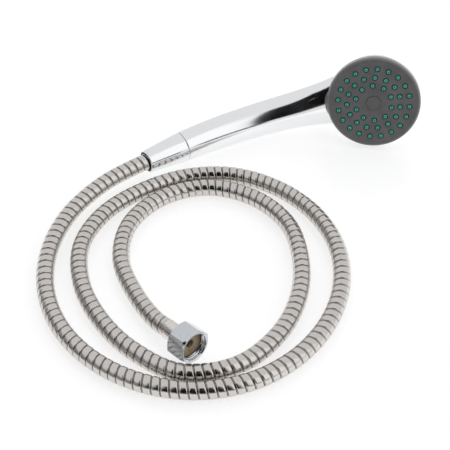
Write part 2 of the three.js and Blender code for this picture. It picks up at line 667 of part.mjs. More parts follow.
function handset() {
  const inlet = atInlet(new THREE.Group());
  inlet.add(
    piece('inlet_spigot', inletSpigot(), 'innerPlastic'),
    piece('inlet_tube_seal', tubeSeal(-SPIGOT_SEAT), 'sealRubber'),
    piece('flow_restrictor', flowRestrictor(), 'greenRubber'),
  );
  const group = new THREE.Group();
  group.add(
    piece('body_shell', bodyShell(), 'chrome'),
    piece('face_plate', facePlate(), 'greyPlastic'),
    piece('nozzle_mat', nozzleMat(), 'greenRubber'),
    piece('distributor_plate', distributorPlate(), 'innerPlastic'),
    piece('centre_cap', centreCap(), 'greyPlastic'),
    piece('face_screw', faceScrew(), 'steel'),
    piece('face_oring', faceOring(), 'sealRubber'),
    piece('water_chamber', waterChamber(), 'innerPlastic'),
    piece('waterway_tube', waterwayTube(), 'innerPlastic'),
    piece('head_tube_seal', headTubeSeal(), 'sealRubber'),
    inlet,
    conicalNutEnd(),
  );
  group.rotation.set(degToRad(LIE_ROLL), degToRad(LIE_PITCH), degToRad(LIE_YAW), 'ZYX');
  return group;
}

// Moves the handset until the middle of its box stands over the origin, on the surface.
function stoodOnOrigin(group) {
  const box = new THREE.Box3().setFromObject(group, true);
  const middle = box.getCenter(new THREE.Vector3());
  group.position.set(-middle.x, -middle.y, -box.min.z);
  return group;
}

function hose() {
  const curve = new THREE.CatmullRomCurve3(HOSE_ROUTE.map((point) => new THREE.Vector3(...point)));
  const group = new THREE.Group();
  group.add(
    piece('hose_outer', tubeAlong(curve, HOSE_STEPS, HOSE_RADIUS, hoseBore, HOSE_SIDES),
      'steel'),
    piece('hose_lining',
      tubeAlong(curve, HOSE_STEPS, liningRadius, liningBore, LINING_SIDES),
      'liningRubber'),
    hexagonNutEnd(curve),
  );
  return group;
}

const showerSet = new THREE.Group();
showerSet.add(stoodOnOrigin(handset()), hose());
export default showerSet;
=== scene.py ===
"""A single-spray hand shower with its metal hose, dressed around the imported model's frame.

Everything is in metres and +Z is up. The handset's pieces are built in the handset's own frame:
+X runs from the handle out through the head, +Z is the spray direction, and the origin is the
centre of the spray face. The pieces at each nut are built along the hose's axis there.
"""
import json
import logging
import math
from dataclasses import dataclass, field
from enum import Enum
from typing import Callable, Iterable, Optional, Sequence, Union

import bpy
import numpy as np
from mathutils import Euler, Matrix, Vector


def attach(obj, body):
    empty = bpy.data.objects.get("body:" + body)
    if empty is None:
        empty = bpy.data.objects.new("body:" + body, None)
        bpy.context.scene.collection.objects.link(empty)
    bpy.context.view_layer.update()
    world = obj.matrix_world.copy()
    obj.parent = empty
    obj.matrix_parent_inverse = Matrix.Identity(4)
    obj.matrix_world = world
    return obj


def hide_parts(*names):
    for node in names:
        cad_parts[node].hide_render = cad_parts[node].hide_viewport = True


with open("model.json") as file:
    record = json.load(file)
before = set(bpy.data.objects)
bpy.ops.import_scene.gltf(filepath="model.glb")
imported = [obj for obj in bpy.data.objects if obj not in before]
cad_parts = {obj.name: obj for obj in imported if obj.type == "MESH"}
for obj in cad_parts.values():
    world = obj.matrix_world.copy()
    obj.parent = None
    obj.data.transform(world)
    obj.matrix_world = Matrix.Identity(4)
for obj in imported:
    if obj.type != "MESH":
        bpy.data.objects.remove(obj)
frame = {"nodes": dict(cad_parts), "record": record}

log = logging.getLogger("hand_shower")
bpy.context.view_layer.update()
PAST = 0.001             # how far a cut runs past the surface that it opens
Point = Sequence[float]
Outline = list[tuple[float, float]]


class Body(Enum):
    """The bodies that the pieces ride on."""

    HANDSET = "handset"
    HOSE_LINE = "hose_line"
    COUPLING_NUT = "coupling_nut"
    WALL_NUT = "wall_nut"


class Join(Enum):
    """How one solid is joined to another."""

    UNION = "UNION"
    DIFFERENCE = "DIFFERENCE"
    INTERSECT = "INTERSECT"


# ------------------------------------------------------------------------------ shader maths


class Wire:
    """A shader socket that arithmetic can be written with; each operation adds a Math node."""

    def __init__(self, sheet: "Sheet", socket: bpy.types.NodeSocket) -> None:
        """Keeps the socket and the sheet that its node is on."""
        self.sheet = sheet
        self.socket = socket

    def _maths(self, operation: str, first: "Value", second: "Value") -> "Wire":
        """Adds one Math node and returns its result."""
        settings = {"operation": operation}
        return self.sheet.node("ShaderNodeMath", settings, {0: first, 1: second})

    def __add__(self, other: "Value") -> "Wire":
        """Sum."""
        return self._maths("ADD", self, other)

    def __radd__(self, other: "Value") -> "Wire":
        """Sum, with the wire second."""
        return self._maths("ADD", other, self)

    def __sub__(self, other: "Value") -> "Wire":
        """Difference."""
        return self._maths("SUBTRACT", self, other)

    def __rsub__(self, other: "Value") -> "Wire":
        """Difference, with the wire second, so that 1 - mask works."""
        return self._maths("SUBTRACT", other, self)

    def __mul__(self, other: "Value") -> "Wire":
        """Product."""
        return self._maths("MULTIPLY", self, other)

    def __rmul__(self, other: "Value") -> "Wire":
        """Product, with the wire second."""
        return self._maths("MULTIPLY", other, self)

    def __truediv__(self, other: "Value") -> "Wire":
        """Quotient."""
        return self._maths("DIVIDE", self, other)

    def __pow__(self, other: "Value") -> "Wire":
        """Power."""
        return self._maths("POWER", self, other)

    def step(self, low: float, high: float) -> "Wire":
        """A smooth rise from 0 at low to 1 at high.

        Args:
            low: The value that gives 0.
            high: The value that gives 1; it may be the smaller of the two.

        Returns:
            The eased value.
        """
        rising = high > low
        ends = {1: low, 2: high} if rising else {1: high, 2: low}
        settings = {"interpolation_type": "SMOOTHSTEP", "clamp": True}
        eased = self.sheet.node("ShaderNodeMapRange", settings, {0: self, **ends})
        return eased if rising else 1 - eased


Value = Union[Wire, float, Sequence[float]]


class Sheet:
    """The node sheet of one material or of the world."""

    def __init__(self, tree: bpy.types.NodeTree) -> None:
        """Takes an empty tree."""
        self.tree = tree

    def node(self, kind: str, settings: Optional[dict] = None,
             sockets: Optional[dict] = None, out: Union[int, str] = 0) -> Wire:
        """Adds a node.

        Args:
            kind: Blender's name for the node type.
            settings: Properties that are set first; a ramp's stops are (place, colour) pairs.
            sockets: Values or wires by input name or number.
            out: The output that is wanted.

        Returns:
            That output.
        """
        made = self.tree.nodes.new(kind)
        for key, value in (settings or {}).items():
            if key == "stops":
                self._set_stops(made.color_ramp.elements, value)
            else:
                setattr(made, key, value)
        for key, value in (sockets or {}).items():
            if isinstance(value, Wire):
                self.tree.links.new(value.socket, made.inputs[key])
            else:
                made.inputs[key].default_value = value
        return Wire(self, made.outputs[out]) if made.outputs else Wire(self, made.inputs[0])

    @staticmethod
    def _set_stops(elements: bpy.types.ColorRampElements, stops: Iterable) -> None:
        """Puts (place, colour) stops on a ramp."""
        stops = list(stops)
        while len(elements) < len(stops):
            elements.new(1.0)
        for element, (place, colour) in zip(elements, stops):
            element.position = place
            element.color = (*colour, 1.0)

    def place(self) -> Wire:
        """The surface's own coordinates, in metres."""
        return self.node("ShaderNodeTexCoord", out="Object")

    def stretched(self, vector: Wire, scale: Point) -> Wire:
        """Coordinates multiplied along each axis."""
        return self.node("ShaderNodeVectorMath", {"operation": "MULTIPLY"},
                         {0: vector, 1: tuple(scale)})

    def dot(self, vector: Wire, direction: Point) -> Wire:
        """The part of a vector that lies along a direction."""
        return self.node("ShaderNodeVectorMath", {"operation": "DOT_PRODUCT"},
                         {0: vector, 1: tuple(direction)}, out="Value")

    def noise(self, vector: Wire, scale: float, detail: float = 3.0,
              roughness: float = 0.55) -> Wire:
        """Cloudy noise around 0.5."""
        sockets = {"Vector": vector, "Scale": scale, "Detail": detail, "Roughness": roughness}
        return self.node("ShaderNodeTexNoise", None, sockets)

    def cells(self, vector: Wire, scale: float) -> Wire:
        """Distance to the middle of the nearest cell."""
        return self.node("ShaderNodeTexVoronoi", None, {"Vector": vector, "Scale": scale})

    def mark(self, name: str, out: str = "Fac") -> Wire:
        """A value that the mesh carries on its points."""
        return self.node("ShaderNodeAttribute", {"attribute_name": name}, None, out)

    def blend(self, share: Value, first: Value, second: Value) -> Wire:
        """A colour between two colours."""
        first, second = (value if isinstance(value, Wire) else (*value, 1.0)
                         for value in (first, second))
        return self.node("ShaderNodeMix", {"data_type": "RGBA"},
                         {0: share, 6: first, 7: second}, out=2)

    def bump(self, height: Wire, strength: float, distance: float) -> Wire:
        """A normal tilted by a height, which is in shares of distance."""
        return self.node("ShaderNodeBump", None,
                         {"Height": height, "Strength": strength, "Distance": distance}, "Normal")


class Finish:
    """A surface finish; each kind fills in its own nodes."""

    name: str

    def make(self) -> bpy.types.Material:
        """Builds the material, once for each finish.

        Returns:
            The material.
        """
        ready = bpy.data.materials.get(self.name)
        if ready:
            return ready
        material = bpy.data.materials.new(self.name)
        material.use_nodes = True
        material.node_tree.nodes.clear()
        sheet = Sheet(material.node_tree)
        sockets = self.sockets(sheet)
        surface = sheet.node("ShaderNodeBsdfPrincipled", None, sockets)
        sheet.node("ShaderNodeOutputMaterial", None, {"Surface": surface})
        return material

    def sockets(self, sheet: Sheet) -> dict:
        """The values and wires of the shader's sockets."""
        raise NotImplementedError


@dataclass(frozen=True)
class Plating(Finish):
    """Bright chromium plating, with handling marks, dried drops and pits where it is worn."""

    name: str
    tint: tuple[float, float, float] = (0.90, 0.91, 0.925)
    polish: float = 0.016
    smudges: float = 0.03
    pits: float = 0.15
    worn: bool = False

    def sockets(self, sheet: Sheet) -> dict:
        """Smudges and drops change the gloss, and pits dent and darken it."""
        place = sheet.place()
        smudge = sheet.noise(place, 38.0, 4.0).step(0.48, 0.72)
        drops = sheet.cells(place, 210.0).step(0.20, 0.12) * sheet.noise(place, 55.0).step(0.55, 0.7)
        fine = sheet.noise(sheet.stretched(place, (60.0, 900.0, 900.0)), 3.0, 2.0)
        specks = sheet.noise(place, 1500.0, 2.0).step(0.62, 0.74)
        wear = sheet.mark("wear") if self.worn else sheet.noise(place, 30.0).step(0.58, 0.8)
        pitted = specks * wear * self.pits
        gloss = self.polish + smudge * self.smudges + drops * 0.05 + pitted * 0.5
        dull = tuple(0.35 * channel for channel in self.tint)
        colour = sheet.blend(pitted, self.tint, dull)
        relief = sheet.noise(place, 26.0, 1.0) + fine * 0.04 - pitted * 0.6
        return {"Base Color": colour, "Metallic": 1.0, "Roughness": gloss,
                "Normal": sheet.bump(relief, 0.07, 0.0004)}


@dataclass(frozen=True)
class WoundSteel(Finish):
    """Stainless strip wound into a hose: brushed along the strip, with brown tarnish and painted shade
    in the grooves.
    """

    name: str
    tint: tuple[float, float, float] = (0.69, 0.66, 0.63)
    groove_tarnish_and_shade_tint: tuple[float, float, float] = (0.10, 0.07, 0.05)
    brushed: float = 0.17

    def sockets(self, sheet: Sheet) -> dict:
        """The strip's own coordinates steer the brushing; the groove mark steers the tarnish and the
        painted shade.
        """
        strip = sheet.mark("strip", "Vector")
        lines = sheet.noise(sheet.stretched(strip, (34.0, 2.2, 1.0)), 1.0, 3.0)
        patches = sheet.noise(sheet.place(), 60.0, 4.0)
        groove = sheet.mark("groove")
        # Painted shade: the grooves go dark brown, partly for tarnish and partly for the shade that
        # falls in them.
        tarnish_and_shade = (groove * 1.25 + patches * 0.3 - 0.3).step(0.15, 0.95)
        metal = sheet.blend(lines.step(0.3, 0.75), tuple(0.88 * c for c in self.tint), self.tint)
        colour = sheet.blend(tarnish_and_shade, metal, self.groove_tarnish_and_shade_tint)
        gloss = self.brushed + (lines - 0.5) * 0.16 + patches.step(0.5, 0.8) * 0.08 + tarnish_and_shade * 0.2
        return {"Base Color": colour, "Metallic": 1.0, "Roughness": gloss,
                "Normal": sheet.bump(lines, 0.25, 0.00008)}


@dataclass(frozen=True)
class TurnedMetal(Finish):
    """Bare metal from the lathe or the press, with faint tool lines and stains."""

    name: str
    tint: tuple[float, float, float]
    gloss: float = 0.3

    def sockets(self, sheet: Sheet) -> dict:
        """Stretched noise makes the tool lines, broad noise the stains."""
        place = sheet.place()
        lines = sheet.noise(sheet.stretched(place, (1.0, 1.0, 14.0)), 240.0, 3.0)
        stain = sheet.noise(place, 90.0, 4.0).step(0.45, 0.8)
        colour = sheet.blend(stain * 0.35, self.tint, tuple(0.6 * c for c in self.tint))
        return {"Base Color": colour, "Metallic": 1.0,
                "Roughness": self.gloss + (lines - 0.5) * 0.2 + stain * 0.12,
                "Normal": sheet.bump(lines, 0.2, 0.0001)}


@dataclass(frozen=True)
class MouldedPlastic(Finish):
    """Moulded plastic with a fine eroded grain, slight mottle and dust."""

    name: str
    tint: tuple[float, float, float]
    gloss: float = 0.42
    grain: float = 0.25
    dust: float = 0.05
    painted_rim_highlight: bool = False

    def sockets(self, sheet: Sheet) -> dict:
        """Grain is relief; mottle and dust change the colour a little, and where the rim mark is set a
        painted highlight lightens it.
        """
        place = sheet.place()
        grain = sheet.noise(place, 2400.0, 2.0, 0.6)
        mottle = sheet.noise(place, 70.0, 5.0)
        specks = sheet.noise(place, 900.0, 1.0).step(0.70, 0.78) * self.dust
        dark = tuple(0.86 * c for c in self.tint)
        light = tuple(min(1.0, 1.14 * c) for c in self.tint)
        colour = sheet.blend(specks, sheet.blend(mottle.step(0.3, 0.7), dark, light),
                             (0.62, 0.6, 0.58))
        gloss = self.gloss + (mottle - 0.5) * 0.14 + (grain - 0.5) * 0.08
        # Painted highlight: the rounded edge and the skirt are lightened towards twice the tint,
        # standing for light caught on the rim.
        if self.painted_rim_highlight:
            rim = sheet.mark("rim")
            colour = sheet.blend(rim * 0.7, colour, tuple(2.1 * c for c in self.tint))
            gloss = gloss - rim * 0.2
        return {"Base Color": colour, "Specular IOR Level": 0.42, "Roughness": gloss,
                "Normal": sheet.bump(grain, self.grain, 0.00006)}


@dataclass(frozen=True)
class MouldedRubber(Finish):
    """Silicone or rubber: matt, faintly mottled, with painted shade where the rise mark is low."""

    name: str
    tint: tuple[float, float, float]
    dark_mottle_and_shade: tuple[float, float, float]
    gloss: float = 0.5
    shaded_by_rise: bool = False

    def sockets(self, sheet: Sheet) -> dict:
        """The rise mark, where the piece has one, paints shade from its root to its tip; elsewhere the
        dark colour only mottles it.
        """
        place = sheet.place()
        mottle = sheet.noise(place, 220.0, 4.0)
        skin = sheet.noise(place, 3200.0, 2.0)
        # Painted shade: with the rise mark the colour is dark in the moats and down the jets and lighter
        # up to the tips, standing for the shade in those recesses.
        height = sheet.mark("rise") if self.shaded_by_rise else mottle.step(0.2, 0.6)
        colour = sheet.blend(height, self.dark_mottle_and_shade, self.tint)
        softened = sheet.blend(mottle.step(0.62, 0.85) * 0.25, colour, tuple(0.7 * c for c in self.tint))
        return {"Base Color": softened, "Specular IOR Level": 0.4,
                "Roughness": self.gloss + (mottle - 0.5) * 0.2,
                "Normal": sheet.bump(skin, 0.2, 0.00005)}


@dataclass(frozen=True)
class SweepPaper(Finish):
    """The pale translucent sheet that the set lies on, lit a little from below."""

    name: str
    tint: tuple[float, float, float] = (0.50, 0.50, 0.503)
    glow: float = 0.68

    def sockets(self, sheet: Sheet) -> dict:
        """Almost even, with a little unevenness in its gloss."""
        clouds = sheet.noise(sheet.place(), 14.0, 3.0)
        colour = sheet.blend(clouds, tuple(0.985 * c for c in self.tint), self.tint)
        return {"Base Color": colour, "Roughness": 0.22 + clouds * 0.08,
                "Specular IOR Level": 0.35, "Emission Color": (1.0, 1.0, 1.0, 1.0),
                "Emission Strength": self.glow}


CHROME = Plating("chrome_plating")
CHROME_WORN = Plating("worn_chrome", tint=(0.63, 0.655, 0.69), polish=0.13, smudges=0.12, pits=0.9,
                      worn=True)
CHROME_CONE = Plating("cone_chrome", tint=(0.86, 0.87, 0.88), polish=0.05, smudges=0.08, pits=0.8,
                      worn=True)
HOSE_STEEL = WoundSteel("wound_steel")
PRESSED_STEEL = TurnedMetal("pressed_steel", (0.76, 0.73, 0.69), 0.2)
BRASS = TurnedMetal("turned_brass", (0.76, 0.60, 0.33))
FACE_GREY = MouldedPlastic("face_grey", (0.125, 0.122, 0.12))
# This face finish paints a highlight on the plate's rounded edge and skirt.
FACE_PAINTED_RIM_HIGHLIGHT = MouldedPlastic("face_painted_rim_highlight", (0.125, 0.122, 0.12), painted_rim_highlight=True)
INNER_WHITE = MouldedPlastic("inner_white", (0.72, 0.70, 0.65), 0.5)
RING_BLACK = MouldedPlastic("ring_black", (0.012, 0.012, 0.013), 0.35, dust=0.02)
RESTRICTOR_GREEN = MouldedPlastic("restrictor_green", (0.12, 0.42, 0.22))
# The nozzle mat's finish paints shade in the moats and jets from the rise mark.
NOZZLE_GREEN = MouldedRubber("nozzle_green", (0.10, 0.52, 0.41), (0.003, 0.060, 0.055), 0.30, True)
SEAL_BLACK = MouldedRubber("seal_black", (0.03, 0.03, 0.03), (0.015, 0.015, 0.015))
WASHER_BEIGE = MouldedRubber("washer_beige", (0.43, 0.34, 0.22), (0.30, 0.23, 0.14), 0.62)
LINING_PALE = MouldedRubber("lining_pale", (0.72, 0.69, 0.62), (0.60, 0.57, 0.50))


# ------------------------------------------------------------------------------ mesh work


def smooth_through(points: Iterable[Point], per_span: int) -> np.ndarray:
    """A centripetal Catmull-Rom curve through points, as the CAD model draws it.

    Args:
        points: The points it goes through, three numbers each.
        per_span: Steps between two points.

    Returns:
        The curve's points, one row each.
    """
    given = np.array([tuple(point) for point in points], float)
    ends = (2 * given[0] - given[1], 2 * given[-1] - given[-2])
    knots = np.vstack([ends[0], given, ends[1]])
    share = np.linspace(0, 1, per_span, endpoint=False)[:, None]
    spans = []
    for before, start, end, after in zip(knots, knots[1:], knots[2:], knots[3:]):
        first, middle, last = (math.sqrt(np.linalg.norm(b - a))
                               for a, b in ((before, start), (start, end), (end, after)))
        leave = ((start - before) / first - (end - before) / (first + middle)
                 + (end - start) / middle) * middle
        arrive = ((end - start) / middle - (after - start) / (middle + last)
                  + (after - end) / last) * middle
        spans.append(start + leave * share + (3 * (end - start) - 2 * leave - arrive) * share ** 2
                     + (2 * (start - end) + leave + arrive) * share ** 3)
    return np.vstack([*spans, given[-1:]])


def lengths_along(path: np.ndarray) -> np.ndarray:
    """Distance along a path to each of its points."""
    return np.concatenate([[0.0], np.cumsum(np.linalg.norm(np.diff(path, axis=0), axis=1))])


def frames_along(path: np.ndarray) -> tuple[np.ndarray, np.ndarray]:
    """Two directions square to a path at each of its points, without twist.

    Args:
        path: The path's points.

    Returns:
        The two directions, one row for each point.
    """
    ahead = np.gradient(path, axis=0)
    ahead /= np.linalg.norm(ahead, axis=1, keepdims=True)
    side = np.cross(ahead[0], (0.0, 0.0, 1.0))
    sides = [side / np.linalg.norm(side)]
    for direction in ahead[1:]:
        side = sides[-1] - direction * sides[-1].dot(direction)
        sides.append(side / np.linalg.norm(side))
    across = np.array(sides)
    return across, np.cross(ahead, across)


def filleted(corners: Sequence[Sequence[float]], steps: int = 5) -> Outline:
    """An outline whose corners are rounded.

    Args:
        corners: (radius, height) or (radius, height, fillet) for each corner.
        steps: Points in each rounded corner.

    Returns:
        The outline's points.
    """
    points = [np.array(corner[:2], float) for corner in corners]
    outline: Outline = []
    for i, corner in enumerate(corners):
        inner = 0 < i < len(corners) - 1
        if len(corner) < 3 or not inner:
            outline.append((float(corner[0]), float(corner[1])))
            continue
        back, on = points[i - 1] - points[i], points[i + 1] - points[i]
        room = 0.49 * min(np.linalg.norm(back), np.linalg.norm(on))
        back, on = back / np.linalg.norm(back), on / np.linalg.norm(on)
        half_angle = 0.5 * math.acos(max(-1.0, min(1.0, float(back @ on))))
        reach = min(corner[2] / math.tan(half_angle), room)
        for share in np.linspace(0, 1, steps):
            bend = points[i] + reach * ((1 - share) ** 2 * back + share ** 2 * on)
            outline.append((float(bend[0]), float(bend[1])))
    return outline


def arc_outline(centre: Point, radii: Point, start: float, end: float, steps: int) -> Outline:
    """Points of an elliptical arc in an outline.

    Args:
        centre: (radius, height) of its centre.
        radii: Its reach along the radius and along the height.
        start: First angle in degrees, from the radius towards the height.
        end: Last angle in degrees.
        steps: How many points.

    Returns:
        The arc's points.
    """
    angles = np.radians(np.linspace(start, end, steps))
    return [(centre[0] + radii[0] * math.cos(a), centre[1] + radii[1] * math.sin(a))
            for a in angles]


class Solid:
    """A closed mesh while it is being made, in the frame of its sub-assembly."""

    def __init__(self, vertices: np.ndarray, faces: list[tuple[int, ...]]) -> None:
        """Makes the mesh and an object that holds it."""
        mesh = bpy.data.meshes.new("solid")
        mesh.from_pydata([tuple(v) for v in vertices], [], faces)
        mesh.update()
        self.object = bpy.data.objects.new("solid", mesh)
        bpy.context.scene.collection.objects.link(self.object)

    @classmethod
    def turned(cls, outline: Outline, segments: int = 128) -> "Solid":
        """A body turned about the height axis.

        Args:
            outline: Points (radius, height). It starts and ends on the axis, or its first
                point is repeated at the end for a ring.
            segments: Steps around the axis.

        Returns:
            The solid.
        """
        ring = outline[0] == outline[-1]
        points = outline[:-1] if ring else outline
        angles = np.linspace(0, 2 * math.pi, segments, endpoint=False)
        vertices: list[tuple[float, float, float]] = []
        rows = []
        for radius, height in points:
            if radius < 1e-9:
                rows.append([len(vertices)] * segments)
                vertices.append((0.0, 0.0, height))
            else:
                rows.append(list(range(len(vertices), len(vertices) + segments)))
                vertices.extend((radius * math.cos(a), radius * math.sin(a), height)
                                for a in angles)
        faces = []
        for low, high in zip(rows, rows[1:] + rows[:1] if ring else rows[1:]):
            for k in range(segments):
                after = (k + 1) % segments
                face = tuple(dict.fromkeys((low[k], low[after], high[after], high[k])))
                if len(face) > 2:
                    faces.append(face)
        return cls(np.array(vertices), faces).facing_out()

    @classmethod
    def lofted(cls, sections: np.ndarray) -> "Solid":
        """A body through closed sections of equal count, with flat ends.

        Args:
            sections: Array of sections × points × 3.

        Returns:
            The solid.
        """
        count, sides, _ = sections.shape
        faces = [(i * sides + k, i * sides + (k + 1) % sides,
                  (i + 1) * sides + (k + 1) % sides, (i + 1) * sides + k)
                 for i in range(count - 1) for k in range(sides)]
        faces.append(tuple(reversed(range(sides))))
        faces.append(tuple(range((count - 1) * sides, count * sides)))
        return cls(sections.reshape(-1, 3), faces).facing_out()

    def facing_out(self) -> "Solid":
        """Turns the faces outwards if they face in."""
        mesh = self.object.data
        mesh.calc_loop_triangles()
        places = np.empty(len(mesh.vertices) * 3)
        mesh.vertices.foreach_get("co", places)
        places = places.reshape(-1, 3)
        corners = np.array([t.vertices[:] for t in mesh.loop_triangles])
        a, b, c = (places[corners[:, i]] for i in range(3))
        if np.einsum("ij,ij->i", a, np.cross(b, c)).sum() < 0:
            mesh.flip_normals()
        return self

    def moved(self, matrix: Matrix) -> "Solid":
        """Moves the mesh."""
        self.object.data.transform(matrix)
        self.object.data.update()
        return self

    def joined(self, other: "Solid", how: Join) -> "Solid":
        """Joins another solid to this one, cuts it out or keeps what they share.

        Args:
            other: The other solid, which is used up.
            how: Which of these is done.

        Returns:
            This solid.
        """
        modifier = self.object.modifiers.new("join", "BOOLEAN")
        modifier.operation = how.value
        modifier.solver = "MANIFOLD"
        modifier.object = other.object
        graph = bpy.context.evaluated_depsgraph_get()
        joined = bpy.data.meshes.new_from_object(self.object.evaluated_get(graph))
        self.object.modifiers.clear()
        self.object.data = joined
        other.drop()
        return self

    def with_(self, other: "Solid") -> "Solid":
        """Adds another solid."""
        return self.joined(other, Join.UNION)

    def without(self, *others: "Solid") -> "Solid":
        """Cuts other solids out."""
        for other in others:
            self.joined(other, Join.DIFFERENCE)
        return self

    def drop(self) -> None:
        """Removes the object of a solid that is used up."""
        bpy.data.objects.remove(self.object, do_unlink=True)

    def marked(self, name: str, rule: Callable[[np.ndarray], np.ndarray]) -> "Solid":
        """Writes a value on each point.

        Args:
            name: The mark's name.
            rule: Gives the values from the points' places in the sub-assembly's frame.

        Returns:
            This solid.
        """
        mesh = self.object.data
        places = np.empty(len(mesh.vertices) * 3)
        mesh.vertices.foreach_get("co", places)
        values = np.asarray(rule(places.reshape(-1, 3)), float)
        kind = "FLOAT" if values.ndim == 1 else "FLOAT_VECTOR"
        layer = mesh.attributes.new(name, kind, "POINT")
        layer.data.foreach_set("value" if values.ndim == 1 else "vector", values.ravel())
        return self

    def finished(self, name: str, finish: Finish, slot: str, body: Body,
                 replaces: Sequence[str] = (), place: Optional[Matrix] = None,
                 crease: float = 32.0) -> bpy.types.Object:
        """Puts the solid in its place as a finished piece.

        Args:
            name: The piece's name.
            finish: Its finish.
            slot: The record's material slot that the finish belongs to; not used.
            body: The body that it rides on.
            replaces: CAD nodes that it stands for.
            place: Its sub-assembly's frame, or None when it is already in place.
            crease: Edges sharper than this many degrees stay sharp.

        Returns:
            The piece's object.
        """
        if place is not None:
            self.moved(place)
        piece = self.object
        piece.name = name
        piece.data.name = name
        piece.data.shade_smooth()
        piece.data.set_sharp_from_angle(angle=math.radians(crease))
        piece.data.materials.clear()
        piece.data.materials.append(finish.make())
        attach(piece, body.value)
        if replaces:
            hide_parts(*replaces)
        log.info("%s: %d faces on %s", name, len(piece.data.polygons), body.value)
        return piece


# ------------------------------------------------------------------------------ places


def joint_frame(name: str) -> tuple[Vector, Vector]:
    """A hinge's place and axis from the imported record.

    Args:
        name: The joint's name.

    Returns:
        A point on the axis, and the axis.
    """
    for joint in frame["record"]["behaviour"]["joints"]:
        if joint["name"] == name:
            return Vector(joint["pos_m"]), Vector(joint["axis"]).normalized()
    raise KeyError(name)


@dataclass
class HandleArc:
    """The arc that the middle of the handle follows, and how the handset lies."""

    radius: float = 0.250
    sweep: float = math.radians(41.14)
    drop: float = 0.023
    roll: float = math.radians(72)
    pitch: float = math.radians(-14)
    yaw: float = math.radians(-4.4)

    @property
    def length(self) -> float:
        """Length of the arc, from under the head's middle to the handle's end."""
        return self.radius * self.sweep

    def point(self, back: float) -> Vector:
        """The point a distance back along the arc."""
        angle = back / self.radius
        return Vector((-self.radius * math.sin(angle), 0,
                       self.radius - self.drop - self.radius * math.cos(angle)))

    def inlet(self) -> Matrix:
        """The frame at the handle's end, +Z out of it, in the handset's frame."""
        turn = Matrix.Rotation(self.sweep - math.pi / 2, 4, "Y")
        return Matrix.Translation(self.point(self.length)) @ turn

    def handset(self) -> Matrix:
        """The handset's frame, from how it lies and from the conical nut's hinge."""
        turn = Euler((self.roll, self.pitch, self.yaw), "XYZ").to_matrix().to_4x4()
        seam, _ = joint_frame("cone_nut_turn")
        origin = seam - turn @ self.point(self.length)
        return Matrix.Translation(origin) @ turn


def thread_rod(crest: float, depth: float, bottom: float, top: float, pitch: float = 0.001814,
               sides: int = 48, per_turn: int = 8) -> Solid:
    """A rod with an outside thread, which also cuts an inside one.

    Args:
        crest: Its outer radius.
        depth: How deep the thread is cut.
        bottom: Height that it starts from.
        top: Height that it ends at.
        pitch: Distance between two turns.
        sides: Steps around.
        per_turn: Steps in height for each turn.

    Returns:
        The rod.
    """
    heights = np.arange(bottom, top, pitch / per_turn)
    heights = np.append(heights, top)
    angles = np.linspace(0, 2 * math.pi, sides, endpoint=False)
    turns = heights[:, None] / pitch - angles[None, :] / (2 * math.pi)
    flank = np.abs((turns % 1.0) * 2 - 1)
    flank = np.clip((flank - 0.15) / 0.7, 0, 1)
    fade = np.clip(np.minimum(heights - bottom, top - heights) / pitch, 0, 1)[:, None]
    radius = crest - depth * (1 - (1 - flank) * fade)
    grid = np.stack([radius * np.cos(angles), radius * np.sin(angles),
                     np.repeat(heights[:, None], sides, 1)], axis=2)
    return Solid.lofted(grid)


# ------------------------------------------------------------------------------ the handset


